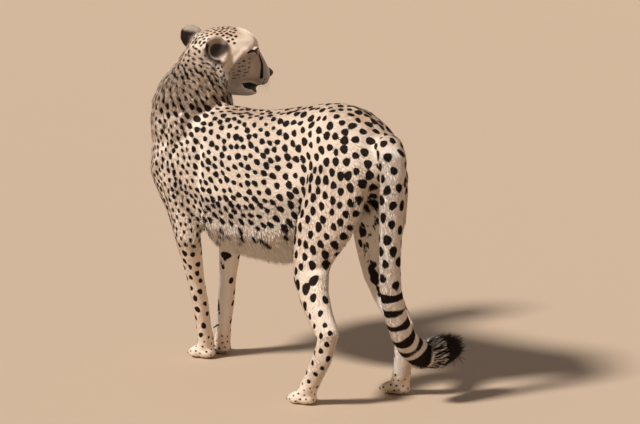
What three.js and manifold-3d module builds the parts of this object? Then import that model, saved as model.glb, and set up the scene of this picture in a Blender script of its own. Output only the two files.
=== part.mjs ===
// A standing cheetah looking back over its right side, life size.
// Millimetres, +Z up. The animal faces -Y, its left side is +X, and its paws stand on z = 0.
// The body is modelled whole, out to the tips of the coat, and parted with thin cuts.

import * as THREE from 'three';
import { mergeVertices } from 'three/addons/utils/BufferGeometryUtils.js';
import Module from 'manifold-3d';

const wasm = await Module();
wasm.setup();

// ---------------------------------------------------------------- driving dimensions

const GAP = 0.4;                 // width of every cut between two parts

const BACK_LINE = 770;           // height of the back over the loins
const RUMP_TOP = 806;            // highest point of the croup
const BELLY_LINE = 362;          // lowest fringe of the chest and belly
const CHEST_FRONT = -436;        // how far the breast reaches forward
const RUMP_BACK = 462;           // how far the buttocks reach back
const RIB_HALF = 110;            // half width over the ribs
const WAIST_HALF = 84;           // half width of the waist
const CROUP_HALF = 100;          // half width of the croup

// Joints of the skeleton, which the flesh follows.
const JOINTS = {
  foreLeft: {
    shoulder: [75, -340, 578], elbow: [79, -281, 377], wrist: [3, -311, 152], knuckle: [-29, -324, 37],
  },
  foreRight: {
    shoulder: [-75, -329, 570], elbow: [-73, -267, 370], wrist: [-81, -300, 146], knuckle: [-101, -337, 36],
  },
  hindLeft: {
    hip: [65, 317, 613], stifle: [89, 198, 387], hock: [154, 354, 188], knuckle: [143, 264, 38],
  },
  hindRight: {
    hip: [-65, 328, 610], stifle: [-95, 268, 384], hock: [-67, 424, 187], knuckle: [-118, 361, 36],
  },
};

// The head has its own frame: x to its right, y to the nose, z to the crown, the origin between the ears.
const HEAD_PLACE = [-74, -348, 882];
const HEAD_FORWARD = [-0.931, 0.353, -0.091];
const HEAD_UP = [-0.05, 0.122, 0.991];
const NOSE_REACH = 196;          // from between the ears to the nose tip
const EYE_RADIUS = 18;
const EYE_PLACE = [40, 110, 4];  // of the right eye, and mirrored for the left
// Each ear: its root, where its hollow looks and where its tip points. The right one listens backwards.
const EARS = {
  right: { root: [78, -6, -6], open: [0.93, 0.02, 0.22], up: [0.4, -0.2, 0.8], size: 1.12 },
  left: { root: [-76, -16, 2], open: [-0.86, 0.42, 0.12], up: [-0.5, -0.36, 0.72], size: 1 },
};

const FORWARD = [0, -1, 0];
const UP = [0, 0, 1];

// ---------------------------------------------------------------- shape tools

const vec = (p) => new THREE.Vector3(p[0], p[1], p[2]);

// A smooth value through knots: one cubic piece between each two, with the slopes of its neighbours.
function through(knots, values, t) {
  let i = 0;
  while (i < knots.length - 2 && t > knots[i + 1]) i++;
  const slope = (a, b) => (values[b] - values[a]) / (knots[b] - knots[a]);
  const from = i > 0 ? slope(i - 1, i + 1) : slope(0, 1);
  const to = i < knots.length - 2 ? slope(i, i + 2) : slope(i, i + 1);
  const span = knots[i + 1] - knots[i];
  const u = (t - knots[i]) / span;
  const u2 = u * u;
  const u3 = u2 * u;
  return (2 * u3 - 3 * u2 + 1) * values[i] + (u3 - 2 * u2 + u) * span * from
    + (3 * u2 - 2 * u3) * values[i + 1] + (u3 - u2) * span * to;
}

// A closed body of rings along a path. Each station is [centre, front, back, left, right]: the middle of
// the section and how far the body reaches from it, where front is the given direction and left is
// across it. The rings stand square to the path, or to one fixed direction. The ends close with a dome.
function loft(stations, options) {
  const { front, direction, rings, around, domes = [0, 0], square = 1, domeRings = 2, bumps = [] } = options;
  const centres = stations.map((s) => vec(s[0]));
  const knots = [0];
  for (let i = 1; i < centres.length; i++) knots.push(knots[i - 1] + centres[i].distanceTo(centres[i - 1]));
  const total = knots[knots.length - 1];
  const pick = (t, get) => through(knots, stations.map(get), t);
  const centreAt = (t) => new THREE.Vector3(
    pick(t, (s) => s[0][0]), pick(t, (s) => s[0][1]), pick(t, (s) => s[0][2]));

  const points = [];
  const addRing = (t, shrink, shift) => {
    const step = total / 200;
    const along = direction ? vec(direction)
      : centreAt(Math.min(t + step, total)).sub(centreAt(Math.max(t - step, 0))).normalize();
    const ahead = vec(front);
    ahead.addScaledVector(along, -ahead.dot(along)).normalize();
    const left = new THREE.Vector3().crossVectors(ahead, along).normalize();
    const centre = centreAt(t).addScaledVector(along, shift);
    const reach = [1, 2, 3, 4].map((k) => pick(t, (s) => s[k]) * shrink);
    for (let k = 0; k < around; k++) {
      const angle = (2 * Math.PI * k) / around;
      const round = (v) => Math.sign(v) * Math.abs(v) ** square;
      const c = round(Math.cos(angle));
      const s = round(Math.sin(angle));
      points.push(centre.clone()
        .addScaledVector(ahead, c * (c > 0 ? reach[0] : reach[1]))
        .addScaledVector(left, s * (s > 0 ? reach[2] : reach[3])));
    }
    return { centre, along };
  };

  let count = 0;
  for (let k = domeRings; k > 0 && domes[0] > 0; k--, count++) {
    const angle = (k / (domeRings + 1)) * Math.PI / 2;
    addRing(0, Math.cos(angle), -domes[0] * Math.sin(angle));
  }
  let start;
  let end;
  for (let r = 0; r < rings; r++, count++) {
    end = addRing((total * r) / (rings - 1), 1, 0);
    start ??= end;
  }
  for (let k = 1; k <= domeRings && domes[1] > 0; k++, count++) {
    const angle = (k / (domeRings + 1)) * Math.PI / 2;
    addRing(total, Math.cos(angle), domes[1] * Math.sin(angle));
  }
  points.push(start.centre.clone().addScaledVector(start.along, -domes[0]));
  points.push(end.centre.clone().addScaledVector(end.along, domes[1]));

  for (const p of points) for (const b of bumps) pushOut(p, b);

  const faces = [];
  for (let r = 0; r < count - 1; r++) {
    for (let k = 0; k < around; k++) {
      const a = r * around + k;
      const b = r * around + (k + 1) % around;
      faces.push(a, b, a + around, b, b + around, a + around);
    }
  }
  const startTip = points.length - 2;
  const endTip = points.length - 1;
  for (let k = 0; k < around; k++) {
    const next = (k + 1) % around;
    faces.push(startTip, next, k);
    faces.push(endTip, (count - 1) * around + k, (count - 1) * around + next);
  }
  return closedBody(points, faces);
}

// Moves a point by a soft push that fades with distance: muscles, brows and hollows.
function pushOut(point, { at, reach, push }) {
  const away = point.clone().sub(vec(at)).divide(vec(reach));
  point.addScaledVector(vec(push), Math.exp(-away.lengthSq()));
}

// Points and triangles as a geometry whose faces point out.
function closedBody(points, faces) {
  let volume = 0;
  for (let i = 0; i < faces.length; i += 3) {
    const [a, b, c] = [points[faces[i]], points[faces[i + 1]], points[faces[i + 2]]];
    volume += a.dot(new THREE.Vector3().crossVectors(b, c));
  }
  if (volume < 0) faces.reverse();
  const geometry = new THREE.BufferGeometry();
  geometry.setAttribute('position', new THREE.Float32BufferAttribute(points.flatMap((p) => p.toArray()), 3));
  geometry.setIndex(faces);
  return geometry;
}

// Geometry to solid, for joining and cutting.
function solid(geometry) {
  const bare = geometry.clone();
  bare.deleteAttribute('normal');
  bare.deleteAttribute('uv');
  const merged = mergeVertices(bare, 1e-4);
  return new wasm.Manifold(new wasm.Mesh({
    numProp: 3,
    vertProperties: new Float32Array(merged.attributes.position.array),
    triVerts: new Uint32Array(merged.index.array),
  }));
}

// Solid back to geometry.
function shape(body) {
  const mesh = body.getMesh();
  const geometry = new THREE.BufferGeometry();
  geometry.setAttribute('position', new THREE.BufferAttribute(new Float32Array(mesh.vertProperties), 3));
  geometry.setIndex(new THREE.BufferAttribute(new Uint32Array(mesh.triVerts), 1));
  return geometry;
}

const join = (bodies) => bodies.reduce((a, b) => a.add(b));

// A block that starts at a plane and reaches away from it: the region that a cut takes off.
function beyond(at, towards, size, depth = size) {
  const block = new THREE.BoxGeometry(size, size, depth);
  block.translate(0, 0, depth / 2);
  const turn = new THREE.Quaternion().setFromUnitVectors(vec(UP), vec(towards).normalize());
  block.applyQuaternion(turn);
  block.translate(at[0], at[1], at[2]);
  return block;
}

// Takes the part of a body beyond a plane off it, and leaves the gap between the two.
function takeOff(body, at, towards, size, depth) {
  const inside = solid(beyond(at, towards, size, depth));
  const back = vec(towards).normalize().multiplyScalar(-GAP);
  const wide = solid(beyond(vec(at).add(back).toArray(), towards, size + 2 * GAP, (depth ?? size) + 2 * GAP));
  return [body.intersect(inside), body.subtract(wide)];
}

// A plate with a given side outline of [y, z] corners, between two values of x.
function sidePlate(outline, x0, x1) {
  const plate = new THREE.ExtrudeGeometry(
    new THREE.Shape(outline.map(([y, z]) => new THREE.Vector2(y, z))),
    { depth: x1 - x0, bevelEnabled: false });
  plate.applyMatrix4(new THREE.Matrix4().set(0, 0, 1, x0, 1, 0, 0, 0, 0, 1, 0, 0, 0, 0, 0, 1));
  return plate;
}

// Between two places, at a share of the way.
const between = (a, b, share) => a.map((v, i) => v + (b[i] - v) * share);
const moved = (a, by) => a.map((v, i) => v + by[i]);

// ---------------------------------------------------------------- trunk and neck

// Sections of the trunk from breast to buttocks: [y, top, bottom, half width, height of the widest level].
const TRUNK_SECTIONS = [
  [CHEST_FRONT, 694, 560, 46, 630],
  [CHEST_FRONT + 22, 730, 505, 86, 620],
  [CHEST_FRONT + 58, 748, 455, 106, 608],
  [-330, 758, 408, RIB_HALF + 4, 600],
  [-270, 750, 382, RIB_HALF + 3, 585],
  [-205, 749, BELLY_LINE + 8, RIB_HALF + 2, 572],
  [-140, 750, BELLY_LINE + 3, RIB_HALF + 2, 565],
  [-60, 752, BELLY_LINE, RIB_HALF, 570],
  [20, BACK_LINE - 7, BELLY_LINE + 5, RIB_HALF - 8, 580],
  [100, BACK_LINE + 10, BELLY_LINE + 34, WAIST_HALF + 6, 600],
  [180, BACK_LINE + 27, BELLY_LINE + 80, WAIST_HALF, 640],
  [255, RUMP_TOP, 500, CROUP_HALF - 4, 660],
  [325, RUMP_TOP - 9, 530, CROUP_HALF - 4, 660],
  [385, RUMP_TOP - 38, 560, CROUP_HALF - 16, 655],
  [RUMP_BACK - 20, RUMP_TOP - 78, 600, 56, 660],
];

function trunkBody() {
  return loft(sectionStations(TRUNK_SECTIONS), {
    front: UP, direction: [0, 1, 0], rings: 15, around: 14, domes: [14, 20], square: 0.88,
    bumps: [
      { at: [0, -235, 780], reach: [60, 60, 50], push: [0, 0, 6] },        // withers
      { at: [0, 60, 360], reach: [60, 120, 50], push: [0, 0, -6] },        // hanging belly fur
    ],
  });
}

function neckBody() {
  return loft([
    [[4, -292, 590], 140, 116, 92, 92],
    [[8, -318, 650], 142, 116, 110, 110],
    [[8, -334, 700], 132, 116, 116, 116],
    [[1, -337, 750], 112, 125, 112, 112],
    [[-13, -337, 792], 94, 108, 94, 94],
    [[-30, -343, 828], 78, 84, 80, 80],
    [[-52, -346, 852], 68, 76, 68, 68],
    [[-76, -346, 868], 60, 64, 60, 60],
  ], { front: FORWARD, rings: 9, around: 14, domes: [20, 20], domeRings: 1 });
}

// ---------------------------------------------------------------- head

// From the head's frame to the body's.
const headRight = new THREE.Vector3().crossVectors(vec(HEAD_FORWARD), vec(HEAD_UP)).normalize();
const headForward = vec(HEAD_FORWARD).normalize();
const headCrown = new THREE.Vector3().crossVectors(headRight, headForward);
const headTurn = new THREE.Matrix4().makeBasis(headRight, headForward, headCrown);
headTurn.setPosition(vec(HEAD_PLACE));

// Sections of the skull and upper jaw from nape to nose: [y, top, bottom, half width, level].
const SKULL_SECTIONS = [
  [-56, 28, -88, 56, -24],
  [-28, 46, -100, 70, -20],
  [8, 58, -110, 78, -20],
  [44, 62, -108, 79, -24],
  [76, 60, -98, 75, -24],
  [102, 55, -92, 66, -24],
  [121, 45, -92, 53, -26],
  [137, 23, -97, 44, -46],
  [152, -6, -102, 41, -64],
  [167, -27, -102, 37, -68],
  [178, -42, -95, 27, -69],
  [NOSE_REACH - 10, -53, -84, 15, -69],
];

// Jaw sections from its angle to the chin.
const JAW_SECTIONS = [
  [34, -72, -120, 50, -96],
  [68, -80, -128, 47, -104],
  [100, -92, -131, 40, -112],
  [128, -105, -132, 31, -119],
  [146, -109, -129, 22, -119],
];

const sectionStations = (sections, margin = 0) => sections.map(([y, top, bottom, half, level]) => (
  [[0, y, level], top - level + margin, level - bottom + margin, half + margin, half + margin]));

function skullBody() {
  return loft(sectionStations(SKULL_SECTIONS), {
    front: UP, direction: [0, 1, 0], rings: 14, around: 16, domes: [16, 8], square: 0.94,
    bumps: [
      { at: [34, 108, 34], reach: [22, 20, 18], push: [3, 8, 3] },     // brows
      { at: [-34, 108, 34], reach: [22, 20, 18], push: [-3, 8, 3] },
      { at: [46, 124, 0], reach: [18, 18, 15], push: [-6, -8, 0] },    // hollows for the eyes
      { at: [-46, 124, 0], reach: [18, 18, 15], push: [6, -8, 0] },
      { at: [34, 160, -78], reach: [16, 16, 16], push: [6, 0, 0] },    // whisker pads
      { at: [-34, 160, -78], reach: [16, 16, 16], push: [-6, 0, 0] },
    ],
  });
}

function jawBody(margin) {
  return loft(sectionStations(JAW_SECTIONS, margin), {
    front: UP, direction: [0, 1, 0], rings: 6, around: 12, domes: [10, 9], square: 0.9, domeRings: 1,
  });
}

// The bare nose leather: a rounded wedge at the tip, wider above. It grows by a margin to cut its seat.
function nosePad(margin) {
  const m = margin;
  return loft([
    [[0, NOSE_REACH - 24, -59], 14 + m, 13 + m, 17 + m, 17 + m],
    [[0, NOSE_REACH - 11, -63], 13 + m, 14 + m, 19 + m, 19 + m],
    [[0, NOSE_REACH - 3, -65], 9 + m, 11 + m, 14 + m, 14 + m],
  ], { front: UP, rings: 3, around: 10, domes: [2 + m, 4 + m], domeRings: 1 });
}

function eyeBall(side, margin) {
  const ball = new THREE.IcosahedronGeometry(EYE_RADIUS + margin, 1);
  ball.translate(side * EYE_PLACE[0], EYE_PLACE[1], EYE_PLACE[2]);
  return ball;
}

// An ear is a cup: a rounded shell with a hollow, in a frame of its own with y out of the hollow.
function earFrame({ root, open, up, size }) {
  const outward = vec(open).normalize();
  const tip = vec(up).addScaledVector(outward, -vec(up).dot(outward)).normalize();
  const across = new THREE.Vector3().crossVectors(outward, tip);
  const frame = new THREE.Matrix4().makeBasis(across, outward, tip);
  return frame.scale(vec([size, size, size])).setPosition(vec(root));
}

function earShell(ear, margin) {
  const m = margin;
  return loft([
    [[0, -6, -18], 18 + m, 20 + m, 27 + m, 27 + m],
    [[0, -6, 8], 17 + m, 19 + m, 35 + m, 35 + m],
    [[0, -4, 30], 13 + m, 15 + m, 34 + m, 34 + m],
    [[0, -2, 45], 9 + m, 11 + m, 24 + m, 24 + m],
  ], { front: [0, 1, 0], rings: 5, around: 11, domes: [6 + m, 8 + m], domeRings: 1 })
    .applyMatrix4(earFrame(ear));
}

function earHollow(ear) {
  const hollow = new THREE.SphereGeometry(1, 9, 6);
  hollow.scale(29, 19, 33);
  hollow.translate(0, 12, 18);
  return hollow.applyMatrix4(earFrame(ear));
}

// ---------------------------------------------------------------- legs

// Sections of a foreleg from the shoulder blade to the knuckles, each with its reach to the front,
// the back and the sides.
function foreLegStations({ shoulder, elbow, wrist, knuckle }, side) {
  return [
    [moved(shoulder, [-side * 18, 24, 128]), 74, 62, 40, 40],
    [moved(shoulder, [-side * 8, 4, 66]), 88, 76, 48, 48],
    [moved(shoulder, [0, 0, 0]), 84, 86, 48, 48],
    [between(shoulder, elbow, 0.45), 68, 80, 44, 44],
    [between(shoulder, elbow, 0.8), 48, 60, 40, 40],
    [moved(elbow, [0, 0, -14]), 38, 46, 35, 35],
    [between(elbow, wrist, 0.35), 33, 34, 29, 29],
    [between(elbow, wrist, 0.7), 26, 27, 24, 24],
    [wrist, 25, 28, 25, 25],
    [between(wrist, knuckle, 0.5), 22, 24, 23, 23],
    [knuckle, 24, 24, 28, 28],
  ];
}

// Sections of a hind leg from the hip to the knuckles.
function hindLegStations({ hip, stifle, hock, knuckle }, side) {
  return [
    [moved(hip, [-side * 10, 0, 88]), 88, 86, 34, 34],
    [moved(hip, [0, -4, 30]), 110, 106, 44, 44],
    [between(hip, stifle, 0.3), 106, 108, 48, 48],
    [between(hip, stifle, 0.65), 80, 104, 47, 47],
    [moved(stifle, [0, 28, -16]), 66, 66, 41, 41],
    [between(stifle, hock, 0.4), 52, 48, 33, 33],
    [between(stifle, hock, 0.8), 38, 40, 26, 26],
    [hock, 32, 42, 25, 25],
    [between(hock, knuckle, 0.25), 28, 36, 24, 24],
    [between(hock, knuckle, 0.65), 25, 30, 25, 25],
    [knuckle, 26, 26, 30, 30],
  ];
}

// The pads and four toes of a paw, in the paw's own frame: x across, y forward, the floor at z = 0.
const TOE_SPREAD = [-24, -8.5, 8.5, 24];
const TOE_REACH = [50, 62, 62, 50];
const TOE_RADIUS = 12.5;

function toeBody(i) {
  const x = TOE_SPREAD[i];
  const tip = TOE_REACH[i];
  return loft([
    [[x * 0.75, 2, 30], 13, 16, 10, 10],
    [[x * 0.95, tip * 0.45, 26], TOE_RADIUS, 25, 11, 11],
    [[x, tip * 0.78, 18], TOE_RADIUS, 25, 10.5, 10.5],
    [[x, tip - 6, 13], 8, 16, 8, 8],
  ], { front: UP, rings: 4, around: 6, domes: [0, 5], domeRings: 1 });
}

function heelPad() {
  return loft([
    [[0, -20, 20], 14, 14, 20, 20],
    [[0, -4, 18], 16, 20, 27, 27],
    [[0, 16, 18], 14, 20, 25, 25],
  ], { front: UP, rings: 3, around: 8, domes: [8, 8], domeRings: 1 });
}

// A claw stands just before the toe's tip and curves down, clear of the floor.
function clawBody(i) {
  const x = TOE_SPREAD[i];
  const root = TOE_REACH[i] + 3 * GAP;
  return loft([
    [[x, root, 15], 4.5, 4.5, 2.6, 2.6],
    [[x, root + 6, 13.5], 3.2, 3.4, 1.9, 1.9],
    [[x, root + 12, 9], 1.4, 1.6, 0.9, 0.9],
  ], { front: UP, rings: 3, around: 5 });
}

// The dewclaw of a foreleg sits low on its inner side, and grows by a margin to cut its seat.
function dewClaw({ wrist, knuckle }, side, margin) {
  const root = moved(between(knuckle, wrist, 0.52), [-side * 16, -4, 0]);
  return loft([
    [root, 5 + margin, 5 + margin, 5 + margin, 5 + margin],
    [moved(root, [-side * 10, -6, -4]), 3.6 + margin, 3.6 + margin, 3 + margin, 3 + margin],
    [moved(root, [-side * 14, -16, -12]), 1.5 + margin, 1.5 + margin, 1.2 + margin, 1.2 + margin],
  ], { front: UP, rings: 3, around: 5, domes: [2 + margin, 1.5 + margin], domeRings: 1 });
}

function pawFrame({ knuckle }, turn) {
  const place = new THREE.Matrix4().makeRotationZ(Math.PI + THREE.MathUtils.degToRad(turn));
  return place.setPosition(knuckle[0], knuckle[1], 0);
}

// ---------------------------------------------------------------- tail

// The tail hangs from the croup and its end curls to the animal's right: [centre, radius].
const TAIL_PLANE = 496;
const TAIL_PATH = [
  [[4, 408, 706], 44],
  [[22, 448, 712], 43],
  [[42, 482, 690], 41],
  [[52, TAIL_PLANE, 645], 39],
  [[57, TAIL_PLANE, 570], 37],
  [[61, TAIL_PLANE, 470], 34],
  [[64, TAIL_PLANE, 394], 33],
  [[57, TAIL_PLANE, 325], 33],
  [[38, TAIL_PLANE, 262], 34],
  [[8, TAIL_PLANE, 202], 36],
  [[-38, TAIL_PLANE, 155], 40],
  [[-98, TAIL_PLANE, 133], 45],
  [[-152, TAIL_PLANE, 132], 37],
];

function tailBody(margin) {
  return loft(TAIL_PATH.map(([at, r]) => [at, r + margin, r + margin, r + margin, r + margin]), {
    front: [0.3, 1, 0.2], rings: 17, around: 9, domes: [10, 30 + margin],
  });
}

// ---------------------------------------------------------------- colours

const paint = (color, roughness) => new THREE.MeshStandardMaterial({ color, roughness, metalness: 0 });
const FUR = paint(0xc9a066, 0.9);
const PALE_FUR = paint(0xe2d3bb, 0.9);
const DARK_FUR = paint(0x1c1612, 0.9);
const NOSE_LEATHER = paint(0x2a1a16, 0.55);
const EYE_AMBER = paint(0x9a5a1c, 0.15);
const CLAW_HORN = paint(0x3b3029, 0.4);

// ---------------------------------------------------------------- assembly

const cheetah = new THREE.Group();
const headGroup = new THREE.Group();
headGroup.applyMatrix4(headTurn);
cheetah.add(headGroup);

function place(name, body, material, parent = cheetah) {
  const geometry = body.isBufferGeometry ? body : shape(body);
  const mesh = new THREE.Mesh(geometry, material);
  mesh.name = name;
  parent.add(mesh);
  return mesh;
}

// Grows a region by the gap on every side, about the middle of its box.
function widened(region) {
  const box = new THREE.Box3().setFromBufferAttribute(region.attributes.position);
  const middle = box.getCenter(new THREE.Vector3());
  const half = box.getSize(new THREE.Vector3()).multiplyScalar(0.5);
  return region.clone().translate(-middle.x, -middle.y, -middle.z)
    .scale(1 + GAP / half.x, 1 + GAP / half.y, 1 + GAP / half.z)
    .translate(middle.x, middle.y, middle.z);
}

// Takes the part of a body inside a region off it, and leaves the gap between the two.
const takeRegion = (body, region) => [body.intersect(solid(region)), body.subtract(solid(widened(region)))];

const aboveFloor = solid(beyond([0, 0, 0], UP, 3000));

// The legs: paws and lower legs are cut off first, and the upper legs stay joined to the trunk.
const LEGS = [
  { name: 'fore_left', joints: JOINTS.foreLeft, side: 1, turn: 0, fore: true },
  { name: 'fore_right', joints: JOINTS.foreRight, side: -1, turn: 4, fore: true },
  { name: 'hind_left', joints: JOINTS.hindLeft, side: 1, turn: 2, fore: false },
  { name: 'hind_right', joints: JOINTS.hindRight, side: -1, turn: 6, fore: false },
];

const legTops = [];
for (const leg of LEGS) {
  const { joints, side, fore } = leg;
  const stations = fore ? foreLegStations(joints, side) : hindLegStations(joints, side);
  const rings = fore ? 11 : 13;
  const limb = loft(stations, { front: FORWARD, rings, around: 10, domes: [26, 12], domeRings: 1 });
  const frame = pawFrame(joints, leg.turn);
  const toes = TOE_SPREAD.map((_, i) => toeBody(i));
  const pawPieces = [...toes, heelPad()].map((g) => solid(g.applyMatrix4(frame)));
  const whole = join([solid(limb), ...pawPieces]).intersect(aboveFloor);
  const ankle = fore ? joints.wrist : joints.hock;
  const pawCut = between(joints.knuckle, ankle, fore ? 0.32 : 0.22);
  const shinDown = vec(joints.knuckle).sub(vec(ankle)).toArray();
  const [paw, aboveThePaw] = takeOff(whole, pawCut, shinDown, 240);
  const knee = fore ? joints.elbow : joints.stifle;
  const lowerCut = fore ? moved(knee, [0, 0, -24]) : between(knee, ankle, 0.2);
  const down = vec(ankle).sub(vec(lowerCut)).toArray();
  let [lower, top] = takeOff(aboveThePaw, lowerCut, down, 420);
  if (fore) {
    place(`dewclaw_${leg.name}`, dewClaw(joints, side, 0), CLAW_HORN);
    lower = lower.subtract(solid(dewClaw(joints, side, GAP)));
  }
  place(`leg_${leg.name}_lower`, lower, FUR);
  place(`paw_${leg.name}`, paw, PALE_FUR);
  legTops.push(top);
  TOE_SPREAD.forEach((_, i) => {
    place(`claw_${leg.name}_${i + 1}`, clawBody(i).applyMatrix4(frame), CLAW_HORN);
  });
}

// The tail hangs free of the buttocks from its root on, and is divided into four lengths.
const TAIL_CUTS = [
  { name: 'tail_upper', at: [38, 474, 698], towards: [0.5, 0.8, -0.45] },
  { name: 'tail_middle', at: [60, TAIL_PLANE, 480], towards: [0, 0, -1] },
  { name: 'tail_lower', at: [50, TAIL_PLANE, 292], towards: [-0.3, 0, -1] },
  { name: 'tail_tip', at: [-62, TAIL_PLANE, 146], towards: [-1, 0, -0.35] },
];
const [hanging, tailRoot] = takeOff(solid(tailBody(0)), TAIL_CUTS[0].at, TAIL_CUTS[0].towards, 1400, 900);
const [hangingWide] = takeOff(solid(tailBody(GAP)), TAIL_CUTS[0].at, TAIL_CUTS[0].towards, 1400, 900);
let tailRest = hanging;
for (let i = 0; i < TAIL_CUTS.length; i++) {
  const next = TAIL_CUTS[i + 1];
  let length = tailRest;
  if (next) {
    const [beyondNext, before] = takeOff(tailRest, next.at, next.towards, 900);
    length = before;
    tailRest = beyondNext;
  }
  place(TAIL_CUTS[i].name, length, FUR);
}

// Trunk, neck, skull, tail root and upper legs as one, then parted.
const skull = solid(skullBody().applyMatrix4(headTurn));
const jawSeat = solid(jawBody(GAP).applyMatrix4(headTurn));
const earSeats = Object.values(EARS).map((ear) => solid(earShell(ear, GAP).applyMatrix4(headTurn)));
let body = join([solid(trunkBody()), solid(neckBody()), tailRoot, skull, ...legTops]);
for (const seat of [hangingWide, jawSeat, ...earSeats]) body = body.subtract(seat);

// The head lies beyond a plane from the nape to the throat, in the head's frame.
const HEAD_REGION = [[-85, 79], [-70, 140], [230, 140], [230, -150], [74, -150], [52, -140]];
let head;
[head, body] = takeRegion(body, sidePlate(HEAD_REGION, -120, 120).applyMatrix4(headTurn));

// The neck lies above a plane from the withers to the breast.
const NECK_REGION = [
  [-222, 751], [-470, 641], [-620, 700], [-620, 1100], [-60, 1100], [-60, 900], [-215, 790],
];
let neck;
[neck, body] = takeRegion(body, sidePlate(NECK_REGION, -220, 220));

// Side outlines of the upper legs, with the shoulder and the thigh, and how far in they start.
const SHOULDER_REGION = [
  [-475, 330], [-475, 560], [-450, 640], [-400, 700], [-330, 730], [-262, 705], [-236, 620],
  [-222, 520], [-222, 430], [-238, 330],
];
const THIGH_REGION = [
  [130, 372], [128, 440], [150, 540], [190, 620], [255, 668], [340, 680], [420, 655], [475, 600],
  [500, 480], [480, 280], [150, 280],
];
for (const leg of LEGS) {
  const outline = leg.fore ? SHOULDER_REGION : THIGH_REGION;
  const inner = leg.fore ? 34 : 20;
  const region = leg.side > 0 ? sidePlate(outline, inner, 260) : sidePlate(outline, -260, -inner);
  let upper;
  [upper, body] = takeRegion(body, region);
  place(`leg_${leg.name}_upper`, upper, FUR);
}
const [loins, chest] = takeOff(body, [0, 62, 580], [0, 1, 0], 900);
place('trunk_chest', chest, FUR);
place('trunk_loins', loins, FUR);

place('neck', neck, FUR);

// The eyes and the nose take their seats in the head, in its own frame.
const headInverse = headTurn.clone().invert();
let headLocal = solid(shape(head).applyMatrix4(headInverse));
for (const [side, word] of [[1, 'right'], [-1, 'left']]) {
  const ear = EARS[word];
  headLocal = headLocal.subtract(solid(eyeBall(side, GAP)));
  place(`eye_${word}`, eyeBall(side, 0), EYE_AMBER, headGroup);
  place(`ear_${word}`, solid(earShell(ear, 0)).subtract(solid(earHollow(ear))), DARK_FUR, headGroup);
}
headLocal = headLocal.subtract(solid(nosePad(GAP)));
place('nose', nosePad(0), NOSE_LEATHER, headGroup);
place('head', headLocal, FUR, headGroup);
place('jaw', jawBody(0), PALE_FUR, headGroup);

// The origin is under the middle of the whole animal's box, on the floor.
const middle = new THREE.Box3().setFromObject(cheetah, true).getCenter(new THREE.Vector3());
cheetah.position.set(-middle.x, -middle.y, 0);

export default cheetah;
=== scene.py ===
"""A standing cheetah that looks back over its right side.

One skin, a coat of mesh tufts, eyes, nose, claws and whiskers, on a plain pale floor.
Lengths are metres, in the frame's own axes: +Z up, the animal faces -Y and its left side is +X.
Sizes of the coat and of the head's features are written in millimetres and turned by MM.
"""

import itertools
import math

import bmesh
import bpy
import numpy as np
from mathutils import Matrix, Vector, kdtree
from mathutils.bvhtree import BVHTree


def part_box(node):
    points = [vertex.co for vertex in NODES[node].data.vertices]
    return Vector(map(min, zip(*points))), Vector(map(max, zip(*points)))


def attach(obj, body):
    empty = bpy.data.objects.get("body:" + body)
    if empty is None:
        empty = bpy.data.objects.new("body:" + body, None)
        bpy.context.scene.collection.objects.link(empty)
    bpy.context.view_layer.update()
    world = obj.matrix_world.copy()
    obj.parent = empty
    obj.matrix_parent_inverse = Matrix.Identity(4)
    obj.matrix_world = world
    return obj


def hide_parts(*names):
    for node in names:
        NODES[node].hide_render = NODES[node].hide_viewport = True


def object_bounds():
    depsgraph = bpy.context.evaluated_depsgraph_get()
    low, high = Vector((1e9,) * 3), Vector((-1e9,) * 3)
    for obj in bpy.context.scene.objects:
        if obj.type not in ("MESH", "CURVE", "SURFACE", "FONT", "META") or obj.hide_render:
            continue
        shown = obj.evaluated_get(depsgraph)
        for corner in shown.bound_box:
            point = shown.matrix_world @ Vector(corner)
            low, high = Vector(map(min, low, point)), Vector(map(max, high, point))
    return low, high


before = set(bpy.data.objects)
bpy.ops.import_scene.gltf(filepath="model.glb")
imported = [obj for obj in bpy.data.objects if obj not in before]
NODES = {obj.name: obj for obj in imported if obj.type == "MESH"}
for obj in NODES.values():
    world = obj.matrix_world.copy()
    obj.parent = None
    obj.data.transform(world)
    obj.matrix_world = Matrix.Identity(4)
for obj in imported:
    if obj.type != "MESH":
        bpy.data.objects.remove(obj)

MM = 0.001
FAR = 99.0                # millimetres, for what has nothing near it
CAD_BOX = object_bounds()

LEGS = ("fore_left", "fore_right", "hind_left", "hind_right")
TOES = (1, 2, 3, 4)
SIDES = {"right": 1, "left": -1}          # the sign of the head's own x axis

# ------------------------------------------------------------ arrays


def unit(vectors):
    """Vectors of length one."""
    return vectors / np.maximum(np.linalg.norm(vectors, axis=-1, keepdims=True), 1e-9)


def dot(a, b):
    """Row by row products, as one column."""
    return np.sum(a * b, axis=-1, keepdims=True)


def fade(value, low, high):
    """A smooth step from 0 at low to 1 at high."""
    share = np.clip((value - low) / (high - low), 0.0, 1.0)
    return share * share * (3.0 - 2.0 * share)


def near(points, at, reach):
    """1 at a place, falling off with distance. The reach is one length or three."""
    away = (points - np.asarray(at, float)) / np.asarray(reach, float)
    return np.exp(-np.sum(away * away, axis=1))


def line_distance(points, path):
    """Each point's distance from a path of straight stretches."""
    best = np.full(len(points), np.inf)
    path = np.asarray(path, float)
    for start, end in zip(path[:-1], path[1:]):
        along = end - start
        share = np.clip((points - start) @ along / (along @ along), 0.0, 1.0)
        best = np.minimum(best, np.linalg.norm(points - start - share[:, None] * along, axis=1))
    return best


def middle(node):
    """The middle of a node's box."""
    low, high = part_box(node)
    return (np.array(low) + np.array(high)) / 2


# ------------------------------------------------------------ meshes


def merged_copy(node):
    """A node's mesh as a bmesh whose loose triangles are joined."""
    body = bmesh.new()
    body.from_mesh(NODES[node].data)
    bmesh.ops.remove_doubles(body, verts=body.verts, dist=1e-5)
    body.normal_update()
    return body


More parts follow.
